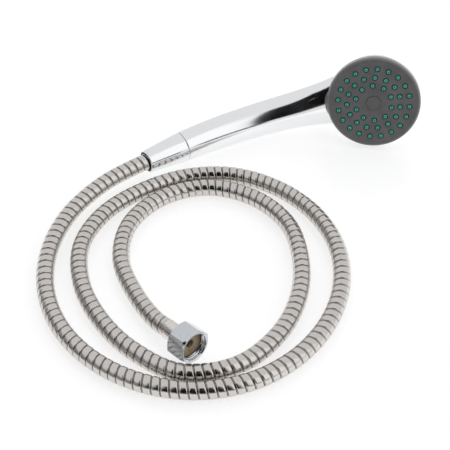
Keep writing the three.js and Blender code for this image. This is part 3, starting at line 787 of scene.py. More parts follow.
@dataclass
class SprayFace:
    """The grey face plate, the nozzle mat behind it and the cap in its middle."""

    radius: float = 0.040
    thickness: float = 0.0024
    skirt_depth: float = 0.0074
    skirt_wall: float = 0.0018
    edge_round: float = 0.0022
    gap: float = 0.0003
    hub_wall: float = 0.0016
    hub_depth: float = 0.00595
    pocket_depth: float = 0.00435
    cap_radius: float = 0.0063
    cap_thickness: float = 0.0023
    cap_proud: float = 0.00015
    cap_play: float = 0.00016
    screw_hole: float = 0.002
    hole_radius: float = 0.0024
    hole_bevel: float = 0.00025
    nib_radius: float = 0.00178
    nib_tip: float = 0.00135
    nib_height: float = 0.0009
    moat_depth: float = 0.0009
    jet_radius: float = 0.0005
    mat_radius: float = 0.0345
    mat_thickness: float = 0.0012
    edge_margin: float = 0.0039
    hub_margin: float = 0.0075
    turn: float = -5.5
    rings: tuple[tuple[int, float, float], ...] = ((20, 1.0, 9.0), (15, 0.475, 12.0), (10, 0.0, 18.0))

    @property
    def hub_radius(self) -> float:
        """Outside of the hub around the cap's pocket."""
        return self.cap_radius + self.gap + self.hub_wall

    @property
    def mat_top(self) -> float:
        """Height of the nozzle mat's front."""
        return -self.thickness - self.gap

    @property
    def skirt_bore(self) -> float:
        """Inside of the skirt."""
        return self.radius - self.skirt_wall

    def nozzle_places(self) -> list[tuple[float, float]]:
        """Middles of the nozzles, ring by ring from the outside in."""
        outer = self.mat_radius - self.edge_margin
        inner = self.hub_radius + self.hub_margin
        places = []
        for count, share, phase in self.rings:
            radius = inner + (outer - inner) * share
            for k in range(count):
                angle = math.radians(self.turn + phase + 360.0 * k / count)
                places.append((radius * math.cos(angle), radius * math.sin(angle)))
        return places

    def at_nozzles(self, outline: Outline, segments: int) -> Solid:
        """One solid with a turned body at every nozzle.

        Args:
            outline: The turned body's outline.
            segments: Steps around it.

        Returns:
            The solid.
        """
        pattern = Solid.turned(outline, segments)
        mesh = pattern.object.data
        one = np.array([v.co[:] for v in mesh.vertices])
        faces = [tuple(p.vertices) for p in mesh.polygons]
        pattern.drop()
        vertices, all_faces = [], []
        for i, (x, y) in enumerate(self.nozzle_places()):
            vertices.append(one + (x, y, 0.0))
            all_faces.extend(tuple(v + i * len(one) for v in face) for face in faces)
        return Solid(np.vstack(vertices), all_faces)

    def plate(self) -> Solid:
        """The plate with its skirt, hub, nozzle holes and the cap's pocket."""
        centre = (self.radius - self.edge_round, -self.edge_round)
        rim = arc_outline(centre, (self.edge_round, self.edge_round), 90, 0, 12)
        bevel = 0.0002
        plate = Solid.turned([
            (0, 0), *rim, *filleted([
                (self.radius, -self.edge_round), (self.radius, -self.skirt_depth, bevel),
                (self.skirt_bore, -self.skirt_depth, bevel), (self.skirt_bore, -self.thickness)]),
            (self.hub_radius, -self.thickness), (self.hub_radius, -self.hub_depth),
            (0, -self.hub_depth)], 256)
        hole = [(0, -self.thickness - PAST), (self.hole_radius, -self.thickness - PAST),
                *filleted([(self.hole_radius, -self.thickness),
                           (self.hole_radius, -self.hole_bevel, self.hole_bevel),
                           (self.hole_radius + self.hole_bevel, 0)], 4),
                (self.hole_radius + self.hole_bevel, PAST), (0, PAST)]
        pocket_radius = self.cap_radius + self.cap_play
        pocket = Solid.turned([
            (0, -self.pocket_depth), (pocket_radius, -self.pocket_depth),
            *filleted([(pocket_radius, -self.pocket_depth / 2), (pocket_radius, -bevel, bevel),
                       (pocket_radius + bevel, 0)], 4),
            (pocket_radius + bevel, PAST), (0, PAST)], 96)
        screw = Solid.turned([(0, -self.hub_depth - PAST), (self.screw_hole, -self.hub_depth - PAST),
                              (self.screw_hole, 0), (0, 0)], 32)
        return plate.without(self.at_nozzles(hole, 24), pocket, screw)

    def mat(self) -> Solid:
        """The rubber mat with a collar, a moat and a nib at every nozzle."""
        bottom = self.mat_top - self.mat_thickness
        collar = self.hole_radius - 0.00005
        nib = filleted([
            (0, bottom + self.mat_thickness / 3), (collar, bottom + self.mat_thickness / 3),
            (collar, -self.moat_depth * 0.72, 0.00015),
            (self.nib_radius + 0.00022, -self.moat_depth, 0.0001),
            (self.nib_radius, -self.moat_depth * 0.8, 0.0001),
            (self.nib_tip, self.nib_height, 0.0004),
            (self.jet_radius, self.nib_height - 0.0001, 0.0001),
            (self.jet_radius, -self.moat_depth), (0, -self.moat_depth)], 4)
        sheet = Solid.turned([
            (self.hub_radius + self.gap, bottom), (self.mat_radius, bottom),
            (self.mat_radius, self.mat_top), (self.hub_radius + self.gap, self.mat_top),
            (self.hub_radius + self.gap, bottom)], 192)
        places = np.array(self.nozzle_places())

        def rise(points: np.ndarray) -> np.ndarray:
            """0 in the moat and down the jet, 1 at the tip; the mat's finish paints shade where it is
            low.
            """
            height = (points[:, 2] + self.moat_depth) / (self.nib_height + self.moat_depth)
            offset = points[:, None, :2] - places[None]
            from_jet = np.linalg.norm(offset, axis=2).min(axis=1)
            jet = np.clip((from_jet - self.jet_radius) / 0.00012, 0, 1)
            return np.clip(height, 0, 1) ** 0.6 * (0.15 + 0.85 * jet)

        return sheet.with_(self.at_nozzles(nib, 28)).marked("rise", rise)

    def cap(self) -> Solid:
        """The small round cap over the face's screw, dished a little."""
        bevel, dish = 0.0003, 0.0001
        return Solid.turned(filleted([
            (0, self.cap_proud - self.cap_thickness),
            (self.cap_radius, self.cap_proud - self.cap_thickness, bevel),
            (self.cap_radius, self.cap_proud, bevel),
            (self.cap_radius * 0.86, self.cap_proud, bevel),
            (self.cap_radius * 0.80, self.cap_proud - dish, bevel),
            (0, self.cap_proud - dish)]), 128)

    def build(self, place: Matrix) -> None:
        """Builds and dresses the face's pieces.

        Args:
            place: The handset's frame.
        """
        edge = self.radius - self.edge_round

        def rim(points: np.ndarray) -> np.ndarray:
            """1 on the skirt and over the rounded edge, 0 on the flat of the face; the plate's finish
            paints a highlight where it is 1.
            """
            return np.clip((np.linalg.norm(points[:, :2], axis=1) - edge) / 0.0012, 0, 1)

        self.plate().marked("rim", rim).finished("spray_face_plate", FACE_PAINTED_RIM_HIGHLIGHT, "grey_plastic",
                                                 Body.HANDSET, ["face_plate"], place)
        self.mat().finished("spray_nozzle_mat", NOZZLE_GREEN, "green_rubber", Body.HANDSET,
                            ["nozzle_mat"], place, crease=50)
        self.cap().finished("spray_centre_cap", FACE_GREY, "grey_plastic", Body.HANDSET,
                            ["centre_cap"], place)


@dataclass
class Shell:
    """The chromed moulding: the round housing and the curved handle."""

    arc: HandleArc
    face: SprayFace
    inset: float = 0.0006
    wall_depth: float = 0.0049
    bowl_depth: float = 0.0184
    wall: float = 0.0024
    lip_wall: float = 0.0028
    oring: float = 0.0014
    inlet_radius: float = 0.0134
    grip_radius: float = 0.0151
    neck_width: float = 0.0225
    neck_depth: float = 0.014
    neck_flattening: float = 0.12
    spigot_seat: float = 0.012
    end_round: float = 0.0005

    @property
    def lip_radius(self) -> float:
        """Outside of the lip that stands inside the skirt."""
        return self.face.skirt_bore - 2 * self.face.gap

    @property
    def top(self) -> float:
        """Height of the housing's front, behind the skirt."""
        return -self.face.skirt_depth - self.face.gap

    def sections(self, inset: float, count: int, sides: int) -> np.ndarray:
        """Oval sections of the handle along its arc.

        Args:
            inset: How much smaller than the outside they are, all round.
            count: How many sections.
            sides: Points in each section.

        Returns:
            Array of sections × points × 3.
        """
        length, head = self.arc.length, self.face.radius
        grip, neck = self.grip_radius, self.neck_width
        middle = (self.inlet_radius + grip) / 2
        through = [
            (length, self.inlet_radius, self.inlet_radius), (length * 0.83, middle, middle),
            (length * 0.62, grip, grip), (length * 0.44, grip + 0.001, grip + 0.0002),
            (head + 0.017, grip + 0.0027, grip - 0.0003),
            (head + 0.003, neck - 0.0026, self.neck_depth),
            (head * 0.72, neck, self.neck_depth - 0.0026),
            (head * 0.42, neck - 0.005, self.neck_depth - 0.005),
            (head * 0.2, neck / 2, self.neck_depth - 0.008)]
        curve = smooth_through(through, 40)[::-1]
        rim = self.end_round * np.array([0, 0.03, 0.12, 0.27, 0.5, 1.0])
        back = np.concatenate([length - rim, np.linspace(length - 2 * self.end_round,
                                                         curve[0, 0], count)])
        width = np.interp(back, curve[:, 0], curve[:, 1])
        depth = np.interp(back, curve[:, 0], curve[:, 2])
        around = np.linspace(0, 2 * math.pi, sides, endpoint=False)
        sections = []
        for x, half_width, half_depth in zip(back, width, depth):
            ease = min(1.0, max(0.0, (x - head - 0.005) / (head - 0.005)))
            flat = 1 - self.neck_flattening * (1 - ease * ease * (3 - 2 * ease))
            short = self.end_round - (length - x)
            rounding = self.end_round - math.sqrt(max(0.0, self.end_round ** 2 - short ** 2)) \
                if short > 0 else 0.0
            inner = inset + rounding
            depths = np.where(np.sin(around) > 0, half_depth * flat, half_depth) - inner
            up = depths * np.sin(around)
            angle = x / self.arc.radius
            centre = self.arc.point(x)
            sections.append(np.stack([centre.x + up * math.sin(angle),
                                      (half_width - inner) * np.cos(around),
                                      centre.z + up * math.cos(angle)], axis=1))
        return np.array(sections)

    def outer(self) -> Solid:
        """The outside of the housing and the handle together."""
        lip_radius, lip_top, top = self.lip_radius, self.face.mat_top, self.top
        radius = self.face.radius - self.inset
        wall_bottom = top - self.wall_depth
        room = Solid.turned([(0, top), (self.face.radius + self.face.gap, top),
                             (self.face.radius + self.face.gap, PAST), (0, PAST)])
        handle = Solid.lofted(self.sections(0.0, 150, 96)).without(room)
        housing = Solid.turned([
            *filleted([(0, lip_top), (lip_radius, lip_top, 0.0003), (lip_radius, top),
                       (radius, top, 0.0005), (radius, wall_bottom)]),
            *arc_outline((0, wall_bottom), (radius, self.bowl_depth), -3, -87, 30),
            (0, wall_bottom - self.bowl_depth)], 256)
        return housing.with_(handle)

    def hollow(self) -> list[Solid]:
        """What is cut out of it: the housing's and the handle's hollows, bore and groove."""
        lip_radius, lip_top, top = self.lip_radius, self.face.mat_top, self.top
        lip_bore = lip_radius - self.lip_wall
        lip_bottom = top - self.wall
        radius = self.face.radius - self.inset - self.wall
        wall_bottom = top - self.wall_depth
        depth = self.bowl_depth - self.wall
        housing = Solid.turned([
            (0, lip_top + PAST), (lip_bore, lip_top + PAST), (lip_bore, lip_bottom),
            (radius, lip_bottom), (radius, wall_bottom),
            *arc_outline((0, wall_bottom), (radius, depth), -5, -85, 16),
            (0, wall_bottom - depth)], 96)
        seat = Solid.turned([(0, -self.spigot_seat), (0.03, -self.spigot_seat), (0.03, 0.002),
                             (0, 0.002)], 32).moved(self.arc.inlet())
        handle = Solid.lofted(self.sections(self.wall, 60, 48)).without(seat)
        bore_radius = self.inlet_radius - self.wall + self.face.gap
        bore_end = -self.spigot_seat - self.face.gap
        inlet = Solid.turned([(0, bore_end), (bore_radius, bore_end),
                              (bore_radius, PAST), (0, PAST)], 64).moved(self.arc.inlet())
        middle = (lip_top + top) / 2
        half = self.oring / 2 + self.face.gap
        floor = lip_radius - self.oring
        groove = Solid.turned([(floor, middle - half), (lip_radius + PAST, middle - half),
                               (lip_radius + PAST, middle + half), (floor, middle + half),
                               (floor, middle - half)], 192)
        return [housing, handle, inlet, groove]

    def build(self, place: Matrix) -> None:
        """Builds and dresses the chromed moulding.

        Args:
            place: The handset's frame.
        """
        self.outer().without(*self.hollow()).finished(
            "chrome_body_shell", CHROME, "chrome_plating", Body.HANDSET, ["body_shell"], place,
            crease=24)


@dataclass
class Spigot:
    """The threaded inlet at the handle's end, seen when the conical nut is unscrewed."""

    arc: HandleArc
    seat: float = 0.012
    radius: float = 0.011
    crest: float = 0.0102
    thread_depth: float = 0.0008
    length: float = 0.0117
    gap: float = 0.0003
    restrictor_bore: float = 0.0083
    restrictor_depth: float = 0.0023
    tube_bore: float = 0.0042
    tube_socket: float = 0.0058
    tube_stop: float = 0.003
    seal_seat: float = 0.0071
    seal_depth: float = 0.0021

    def build(self, place: Matrix) -> None:
        """Builds and dresses the inlet.

        Args:
            place: The handset's frame.
        """
        body = Solid.turned(filleted([
            (0, -self.seat), (self.radius, -self.seat, 0.0003), (self.radius, -self.gap, 0.0003),
            (self.crest - self.thread_depth, -self.gap), (self.crest - self.thread_depth, 0.0005),
            (0, 0.0005)]), 96)
        thread = thread_rod(self.crest, self.thread_depth, 0.0002, self.length)
        end = self.length - self.restrictor_depth
        bore = Solid.turned([
            (0, self.length + PAST), (self.restrictor_bore, self.length + PAST),
            (self.restrictor_bore, end), (self.tube_bore, end), (self.tube_bore, -self.tube_stop),
            (self.tube_socket, -self.tube_stop),
            (self.tube_socket, -self.seat + self.seal_depth),
            (self.seal_seat, -self.seat + self.seal_depth),
            (self.seal_seat, -self.seat - PAST), (0, -self.seat - PAST)], 64)
        body.with_(thread).without(bore).finished(
            "threaded_inlet", INNER_WHITE, "inner_plastic", Body.HANDSET, ["inlet_spigot"],
            place @ self.arc.inlet())


# ------------------------------------------------------------------------------ the two nuts


@dataclass
class ConicalNut:
    """The chromed cone that screws on to the handle, and the black ring in its mouth."""

    arc: HandleArc
    gap: float = 0.0003
    thread_bore: float = 0.0105
    thread_depth: float = 0.0008
    wide_radius: float = 0.0135
    small_radius: float = 0.0099
    length: float = 0.0356
    mouth_bore: float = 0.0088
    shoulder: float = 0.0168
    ring_bore: float = 0.0073
    ring_wall: float = 0.0012
    ring_start: float = 0.0315
    ring_inset: float = 0.0004
    thread_runout: float = 0.005

    def nut(self) -> Solid:
        """The cone, with its thread and the way through for the hose."""
        mouth = self.gap + self.length
        corner = 0.0005
        cone = Solid.turned(filleted([
            (0, self.gap), (self.wide_radius, self.gap, corner),
            (self.small_radius, mouth, 0.0008), (self.mouth_bore, mouth, 0.0003),
            (self.mouth_bore, mouth - 0.002), (0, mouth - 0.002)]), 192)
        ways = Solid.turned([
            (0, -PAST), (self.thread_bore, -PAST), (self.thread_bore, self.shoulder),
            (self.mouth_bore, self.shoulder), (self.mouth_bore, mouth + PAST),
            (0, mouth + PAST)], 96)
        thread = thread_rod(self.thread_bore + self.thread_depth, self.thread_depth, self.gap + 0.0008,
                            self.shoulder - self.thread_runout)
        small, wide = self.small_radius, self.wide_radius

        def wear(points: np.ndarray) -> np.ndarray:
            """Worn where the hose's turns rub it, near the small end."""
            along = np.clip(points[:, 2] / mouth, 0, 1)
            radius = np.linalg.norm(points[:, :2], axis=1)
            outside = radius > (wide + (small - wide) * along) * 0.95
            return along ** 3 * outside

        return cone.without(ways, thread).marked("wear", wear)

    def ring(self) -> Solid:
        """The black ring that the hose passes through."""
        end = self.gap + self.length - self.ring_inset
        outer = self.ring_bore + self.ring_wall
        middle = (self.ring_bore + outer) / 2
        return Solid.turned(filleted([
            (self.ring_bore, (self.ring_start + end) / 2), (self.ring_bore, self.ring_start, 0.0003),
            (outer, self.ring_start, 0.0003), (outer, end, 0.0005), (middle, end + 0.0003, 0.0005),
            (self.ring_bore, end, 0.0004), (self.ring_bore, (self.ring_start + end) / 2)]), 96)

    def build(self, place: Matrix) -> None:
        """Builds and dresses the nut and its ring.

        Args:
            place: The handset's frame.
        """
        inlet = place @ self.arc.inlet()
        self.nut().finished("conical_nut", CHROME_CONE, "chrome_plating", Body.COUPLING_NUT,
                            ["cone_nut"], inlet)
        self.ring().finished("mouth_ring", RING_BLACK, "black_plastic", Body.COUPLING_NUT,
                             ["cone_mouth_ring"], inlet)


@dataclass
class HexagonNut:
    """The wall end: hexagon nut, washer and crimp sleeve, along the hose's axis from its end."""

    gap: float = 0.0003
    sleeve_seen: float = 0.0142
    sleeve_bore: float = 0.0056
    sleeve_radius: float = 0.0073
    half_flats: float = 0.0125
    length: float = 0.016
    roll: float = math.radians(-51)
    face_radius: float = 0.0126
    chamfer: float = 0.0016
    back_wall: float = 0.0046
    bore: float = 0.0105
    thread_depth: float = 0.0008
    washer_bore: float = 0.0032
    washer_radius: float = 0.0102
    washer_thickness: float = 0.0032
    flange: float = 0.002
    corner_round: float = 0.0005
    thread_start: float = 0.0057

    @property
    def back(self) -> float:
        """Where the nut starts along the axis."""
        return self.gap + self.sleeve_seen

    def frame(self) -> Matrix:
        """The frame at the hose's end: +Z along the axis, X level."""
        origin, axis = joint_frame("wall_nut_turn")
        across = Vector((0, 0, 1)).cross(axis).normalized()
        turn = Matrix((across, axis.cross(across), axis)).transposed().to_4x4()
        return Matrix.Translation(origin) @ turn

    def prism(self) -> Solid:
        """A hexagonal rod with rounded edges."""
        corner = self.half_flats * 2 / math.sqrt(3)
        inner = corner - self.corner_round * 2 / math.sqrt(3)
        around = []
        for side in range(6):
            middle = self.roll + side * math.pi / 3
            for bend in np.linspace(-math.pi / 6, math.pi / 6, 5):
                around.append((inner * math.cos(middle) + self.corner_round * math.cos(middle + bend),
                               inner * math.sin(middle) + self.corner_round * math.sin(middle + bend)))
        heights = np.linspace(self.back, self.back + self.length, 9)
        return Solid.lofted(np.array([[(x, y, z) for x, y in around] for z in heights]))

    def nut(self) -> Solid:
        """The nut with turned-down corners, neck and threaded socket."""
        back, front = self.back, self.back + self.length
        corner = self.half_flats * 2 / math.sqrt(3)
        envelope = Solid.turned(filleted([
            (0, back), (self.face_radius, back, 0.0003), (corner, back + self.chamfer, 0.001),
            (corner, front - self.chamfer, 0.001), (self.face_radius - 0.0002, front, 0.0004),
            (0, front)]), 192)
        floor = back + self.back_wall
        rim = 0.0006
        ways = Solid.turned([
            (0, back - PAST), (self.sleeve_radius + self.gap, back - PAST),
            (self.sleeve_radius + self.gap, floor), (self.bore, floor), (self.bore, front - rim),
            (self.bore + rim, front), (self.bore + rim, front + PAST),
            (0, front + PAST)], 96)
        thread = thread_rod(self.bore + self.thread_depth, self.thread_depth,
                            floor + self.thread_start, front - 0.0004, sides=72)
        low = self.half_flats

        def wear(points: np.ndarray) -> np.ndarray:
            """Worn by spanners on the flats, most of all along the edges."""
            radius = np.linalg.norm(points[:, :2], axis=1)
            return np.clip((radius - low * 0.96) / (corner - low), 0, 1) * 0.8 + 0.2

        return self.prism().joined(envelope, Join.INTERSECT).without(ways, thread) \
            .marked("wear", wear)

    def washer(self) -> Solid:
        """The thick soft washer at the bottom of the socket."""
        start = self.back + self.back_wall + self.gap + self.flange + self.gap
        end = start + self.washer_thickness
        middle = (start + end) / 2
        return Solid.turned(filleted([
            (self.washer_bore, middle), (self.washer_bore, start, 0.0003),
            (self.washer_radius, start, 0.0003), (self.washer_radius, end, 0.0006),
            (self.washer_bore, end, 0.0005), (self.washer_bore, middle)]), 96)

    def sleeve(self) -> Solid:
        """The crimped sleeve between the last turn of strip and the nut."""
        end = self.back + self.back_wall
        rim = 0.0004
        step = self.sleeve_radius - 0.0003
        middle = (self.gap + end) / 2
        return Solid.turned(filleted([
            (self.sleeve_bore, middle), (self.sleeve_bore, self.gap, rim / 2),
            (self.sleeve_radius, self.gap, rim), (self.sleeve_radius, self.gap + 0.0016, rim),
            (step, self.gap + 0.0020, rim), (step, self.gap + 0.0030, rim),
            (self.sleeve_radius, self.gap + 0.0034, rim), (self.sleeve_radius, end, rim),
            (self.sleeve_bore, end, rim / 2), (self.sleeve_bore, middle)]), 96)

    def build(self) -> list[bpy.types.Object]:
        """Builds and dresses the wall end's pieces.

        Returns:
            The pieces, which go with the hose.
        """
        place = self.frame()
        return [
            self.sleeve().finished("crimp_sleeve", PRESSED_STEEL, "spring_steel", Body.HOSE_LINE,
                                   ["hex_sleeve"], place),
            self.nut().finished("hexagon_nut", CHROME_WORN, "chrome_plating", Body.WALL_NUT,
                                ["hex_nut"], place),
            self.washer().finished("wall_washer", WASHER_BEIGE, "washer_rubber", Body.HOSE_LINE,
                                   ["hex_washer"], place)]


# ------------------------------------------------------------------------------ the hose


@dataclass
class Hose:
    """The wound metal hose, lying in loose loops on the surface."""

    diameter: float = 0.014
    bore_radius: float = 0.0057
    pitch: float = 0.0064
    sides: int = 36
    route: tuple[Point, ...] = (
        (-0.1113, -0.0337, 0.0144), (-0.1232, -0.0419, 0.0146), (-0.1496, -0.0636, 0.0138),
        (-0.1739, -0.0953, 0.0108), (-0.1859, -0.1333, 0.0084), (-0.1844, -0.1733, 0.0073),
        (-0.1694, -0.2108, 0.0072), (-0.1429, -0.2408, 0.0072), (-0.1079, -0.2608, 0.0072),
        (-0.0684, -0.2678, 0.0072), (-0.0289, -0.2598, 0.0072), (0.0046, -0.2378, 0.0072),
        (0.0286, -0.2058, 0.0072), (0.0411, -0.1678, 0.0072), (0.0401, -0.1278, 0.0072),
        (0.0246, -0.0908, 0.0072), (-0.0034, -0.0618, 0.0072), (-0.0399, -0.0453, 0.0072),
        (-0.0799, -0.0468, 0.0072), (-0.1164, -0.0638, 0.0072), (-0.1459, -0.0908, 0.0072),
        (-0.1614, -0.1268, 0.0072), (-0.1579, -0.1668, 0.0072), (-0.1409, -0.2028, 0.0072),
        (-0.1149, -0.2323, 0.0072), (-0.0789, -0.2524, 0.0072), (-0.0394, -0.2458, 0.0072),
        (-0.0094, -0.2183, 0.0072), (0.0076, -0.1813, 0.0072), (0.0111, -0.1413, 0.0072),
        (0.0021, -0.1023, 0.0072), (-0.0244, -0.0728, 0.0072), (-0.0624, -0.0603, 0.0072),
        (-0.0999, -0.0728, 0.0072), (-0.1249, -0.1038, 0.0072), (-0.1291, -0.1433, 0.0072),
        (-0.1146, -0.1809, 0.0073), (-0.0990, -0.2053, 0.0089), (-0.0902, -0.2144, 0.0107))
    profile: tuple[tuple[float, float], ...] = (
        (0.00, 0.00), (0.02, 0.00), (0.04, 0.56), (0.085, 0.60), (0.105, 0.02), (0.125, 0.02),
        (0.15, 0.78), (0.20, 0.92), (0.31, 0.98), (0.46, 1.00), (0.64, 1.00), (0.79, 0.97),
        (0.90, 0.90), (0.955, 0.76), (0.975, 0.05))
    groove_depth: float = 0.0010

    def height(self, phase: np.ndarray) -> np.ndarray:
        """Share of the strip's height at a place across it, from 0 in the groove to 1."""
        places, heights = zip(*self.profile)
        return np.interp(phase % 1.0, [*places, 1.0], [*heights, heights[0]])

    def tube(self, path: np.ndarray) -> Solid:
        """The tube whose outside winds round the path as one long strip.

        Args:
            path: The middle of the hose, closely spaced.

        Returns:
            The solid, with the strip's own coordinates and the groove marked on it.
        """
        along = lengths_along(path)
        across, up = frames_along(path)
        total = along[-1]

        def ring_points(s: np.ndarray, angle: np.ndarray, radius: np.ndarray) -> np.ndarray:
            """Points at distances along the path, angles round it and radii."""
            middle, sideways, upward = (
                np.stack([np.interp(s, along, rows[:, i]) for i in range(3)], 1)
                for rows in (path, across, up))
            return (middle + sideways * (radius * np.cos(angle))[:, None]
                    + upward * (radius * np.sin(angle))[:, None])

        phases = np.array([place for place, _ in self.profile])
        per_turn, sides = len(phases), self.sides
        turns = int(math.ceil(total / self.pitch)) + 1
        row, side = np.meshgrid(np.arange(-per_turn, turns * per_turn), np.arange(sides),
                                indexing="ij")
        wound = row // per_turn + side / sides
        s = self.pitch * (wound + phases[row % per_turn])
        inside = (s > 1e-5) & (s < total - 1e-5)
        angle = 2 * math.pi * side / sides
        rim_angles = 2 * math.pi * np.arange(sides) / sides
        radius = self.diameter / 2

        def surface(s_at: np.ndarray, angle_at: np.ndarray) -> tuple[np.ndarray, np.ndarray]:
            """Places and heights of points on the wound outside."""
            rise = self.height(s_at / self.pitch - angle_at / (2 * math.pi))
            return ring_points(s_at, angle_at, radius - self.groove_depth * (1 - rise)), rise

        number = np.empty(s.shape, int)
        number[inside] = 2 * sides + np.arange(inside.sum())
        number[s <= 1e-5] = np.broadcast_to(np.arange(sides), s.shape)[s <= 1e-5]
        number[s >= total - 1e-5] = sides + np.broadcast_to(np.arange(sides),
                                                            s.shape)[s >= total - 1e-5]
        start, start_rise = surface(np.zeros(sides), rim_angles)
        finish, finish_rise = surface(np.full(sides, total), rim_angles)
        wound_points, rise = surface(s[inside], angle[inside])
        inner_s = np.linspace(0, total, 420)
        inner = ring_points(np.repeat(inner_s, sides), np.tile(rim_angles, len(inner_s)),
                            np.full(len(inner_s) * sides, self.bore_radius))
        vertices = np.vstack([start, finish, wound_points, inner])
        faces = []
        last = len(number) - 1
        for i in range(last):
            for j in range(sides):
                if j < sides - 1:
                    face = (number[i, j], number[i, j + 1], number[i + 1, j + 1], number[i + 1, j])
                elif i + per_turn < last:
                    face = (number[i, j], number[i + per_turn, 0], number[i + per_turn + 1, 0],
                            number[i + 1, j])
                else:
                    face = (number[i, j], sides, sides, number[i + 1, j])
                face = tuple(dict.fromkeys(int(v) for v in face))
                if len(face) > 2:
                    faces.append(face)
        base = 2 * sides + int(inside.sum())
        faces = self._without_ends(faces, sides)
        for i in range(len(inner_s) - 1):
            low, high = base + i * sides, base + (i + 1) * sides
            faces.extend((low + (j + 1) % sides, low + j, high + j, high + (j + 1) % sides)
                         for j in range(sides))
        finish_inner = base + (len(inner_s) - 1) * sides
        for j in range(sides):
            k = (j + 1) % sides
            faces.append((k, j, base + j, base + k))
            faces.append((sides + j, sides + k, finish_inner + k, finish_inner + j))
        inner_count = len(inner)
        groove = np.concatenate([1 - start_rise, 1 - finish_rise, 1 - rise, np.ones(inner_count)])
        strip = np.zeros((len(vertices), 3))
        strip[2 * sides:base, 0] = phases[row % per_turn][inside]
        strip[2 * sides:base, 1] = wound[inside]
        solid = Solid(vertices, faces).facing_out()
        return solid.marked("groove", lambda _: groove).marked("strip", lambda _: strip)

    @staticmethod
    def _without_ends(faces: list[tuple[int, ...]], sides: int) -> list[tuple[int, ...]]:
        """Leaves out faces that lie wholly on an end ring."""
        return [face for face in faces
                if not (all(v < sides for v in face) or all(sides <= v < 2 * sides for v in face))]

    def build(self, on_it: Sequence[bpy.types.Object]) -> None:
        """Args:
            on_it: The pieces at its wall end; not used.
        """
        path = smooth_through(self.route, 60)
        piece = self.tube(path).finished("metal_hose", HOSE_STEEL, "spring_steel",
                                         Body.HOSE_LINE, ["hose_outer"], crease=60)


# ------------------------------------------------------------------------------ inner pieces


@dataclass
class InnerWorks:
    """The CAD pieces whose shape stays, with the finish that each one gets."""

    finishes: dict[str, Finish] = field(default_factory=lambda: {
        "distributor_plate": INNER_WHITE, "water_chamber": INNER_WHITE,
        "waterway_tube": INNER_WHITE, "flow_restrictor": RESTRICTOR_GREEN,
        "face_screw": PRESSED_STEEL, "cone_sleeve": PRESSED_STEEL, "cone_stem": BRASS,
        "hex_stem": BRASS, "face_oring": SEAL_BLACK, "head_tube_seal": SEAL_BLACK,
        "inlet_tube_seal": SEAL_BLACK, "cone_washer": SEAL_BLACK, "hose_lining": LINING_PALE})

    def build(self) -> None:
        """Gives each node its finish."""
        for name, finish in self.finishes.items():
            for slot in frame["nodes"][name].material_slots:
                slot.material = finish.make()
            log.info("%s: %s", name, finish.name)


# ------------------------------------------------------------------------------ the studio


@dataclass
class Card:
    """A soft-edged patch of light or dark in the studio's surroundings; angles in degrees."""

    azimuth: float
    half_width: float
    low: float
    high: float
    strength: float
    softness: float = 0.02

    def over(self, sheet: Sheet, direction: Wire, behind: Value) -> Wire:
        """The surroundings' brightness with this card in front.

        Args:
            sheet: The world's sheet.
            direction: The direction looked in.
            behind: The brightness behind the card.

        Returns:
            The brightness.
        """
        turn, reach = math.radians(self.azimuth), math.radians(self.half_width)
        low, high = math.sin(math.radians(self.low)), math.sin(math.radians(self.high))
        height = sheet.dot(direction, (0, 0, 1))
        level = (1.0001 - height * height) ** 0.5
        facing = sheet.dot(direction, (-math.sin(turn), math.cos(turn), 0)) / level
        soft = self.softness
        mask = (facing.step(math.cos(reach) - soft, math.cos(reach) + soft)
                * height.step(low - soft, low + soft) * height.step(high + soft, high - soft))
        return behind * (1 - mask) + mask * self.strength


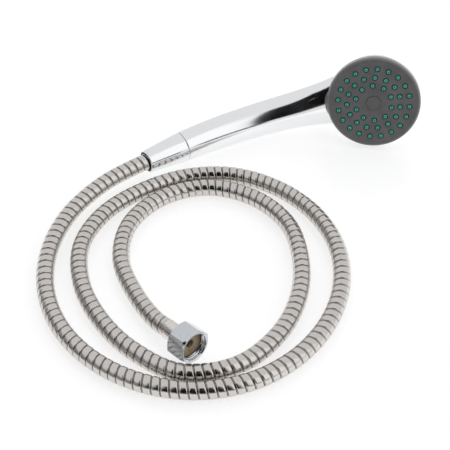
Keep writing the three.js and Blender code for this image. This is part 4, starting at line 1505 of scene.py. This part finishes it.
@dataclass
class Studio:
    """Camera, pale floor and the white surroundings with their dark side."""

    camera_place: Point = (-0.0480, -0.7074, 0.610)
    camera_tilt: float = math.radians(45)
    focal_length: float = 84.56
    brightness: float = 0.84
    cards: tuple[Card, ...] = (
        Card(azimuth=-122, half_width=27, low=14, high=72, strength=1.12, softness=0.08),
        Card(azimuth=104, half_width=48, low=1, high=40, strength=0.30, softness=0.10),
        Card(azimuth=99, half_width=14, low=-16, high=14, strength=0.07, softness=0.03),
        Card(azimuth=180, half_width=31.5, low=12, high=78, strength=0.003, softness=0.006),
        Card(azimuth=-140, half_width=12, low=7, high=13, strength=0.01, softness=0.006),
        Card(azimuth=-169, half_width=1.2, low=50, high=52, strength=1.0, softness=0.003))

    def camera(self) -> None:
        """Sets up the camera, which comes first."""
        data = bpy.data.cameras.new("camera")
        data.lens = self.focal_length
        data.sensor_width = 36.0
        data.clip_start = 0.01
        camera = bpy.data.objects.new("camera", data)
        camera.location = self.camera_place
        camera.rotation_euler = (self.camera_tilt, 0, 0)
        bpy.context.scene.collection.objects.link(camera)
        bpy.context.scene.camera = camera

    def floor(self) -> None:
        """A broad flat sheet at height 0."""
        size, steps = 3.0, 12
        edge = np.linspace(-size, size, steps)
        points = np.array([(x, y, 0.0) for y in edge for x in edge])
        faces = [(j * steps + i, j * steps + i + 1, (j + 1) * steps + i + 1, (j + 1) * steps + i)
                 for j in range(steps - 1) for i in range(steps - 1)]
        paper = Solid(points, faces).object
        paper.name = "studio_floor"
        paper.data.materials.append(SweepPaper("sweep_paper").make())

    def surroundings(self) -> None:
        """Even white surroundings, with the cards set in them."""
        world = bpy.data.worlds.new("studio")
        world.use_nodes = True
        world.node_tree.nodes.clear()
        bpy.context.scene.world = world
        sheet = Sheet(world.node_tree)
        direction = sheet.node("ShaderNodeTexCoord", out="Generated")
        light: Value = self.brightness
        for card in self.cards:
            light = card.over(sheet, direction, light)
        background = sheet.node("ShaderNodeBackground", None,
                                {"Color": (0.985, 0.99, 1.0, 1.0), "Strength": light})
        sheet.node("ShaderNodeOutputWorld", None, {"Surface": background})

    def build(self) -> None:
        """Builds the floor and the surroundings."""
        self.floor()
        self.surroundings()
        bpy.context.scene.view_settings.view_transform = "Standard"


# ------------------------------------------------------------------------------ all of it


def main() -> None:
    """Builds the set in order."""
    logging.basicConfig(level=logging.INFO, format="%(message)s")
    studio = Studio()
    studio.camera()
    Hose().build(HexagonNut().build())
    arc, face = HandleArc(), SprayFace()
    place = arc.handset()
    Shell(arc, face).build(place)
    face.build(place)
    Spigot(arc).build(place)
    ConicalNut(arc).build(place)
    InnerWorks().build()
    studio.build()


if __name__ == "__main__":
    main()
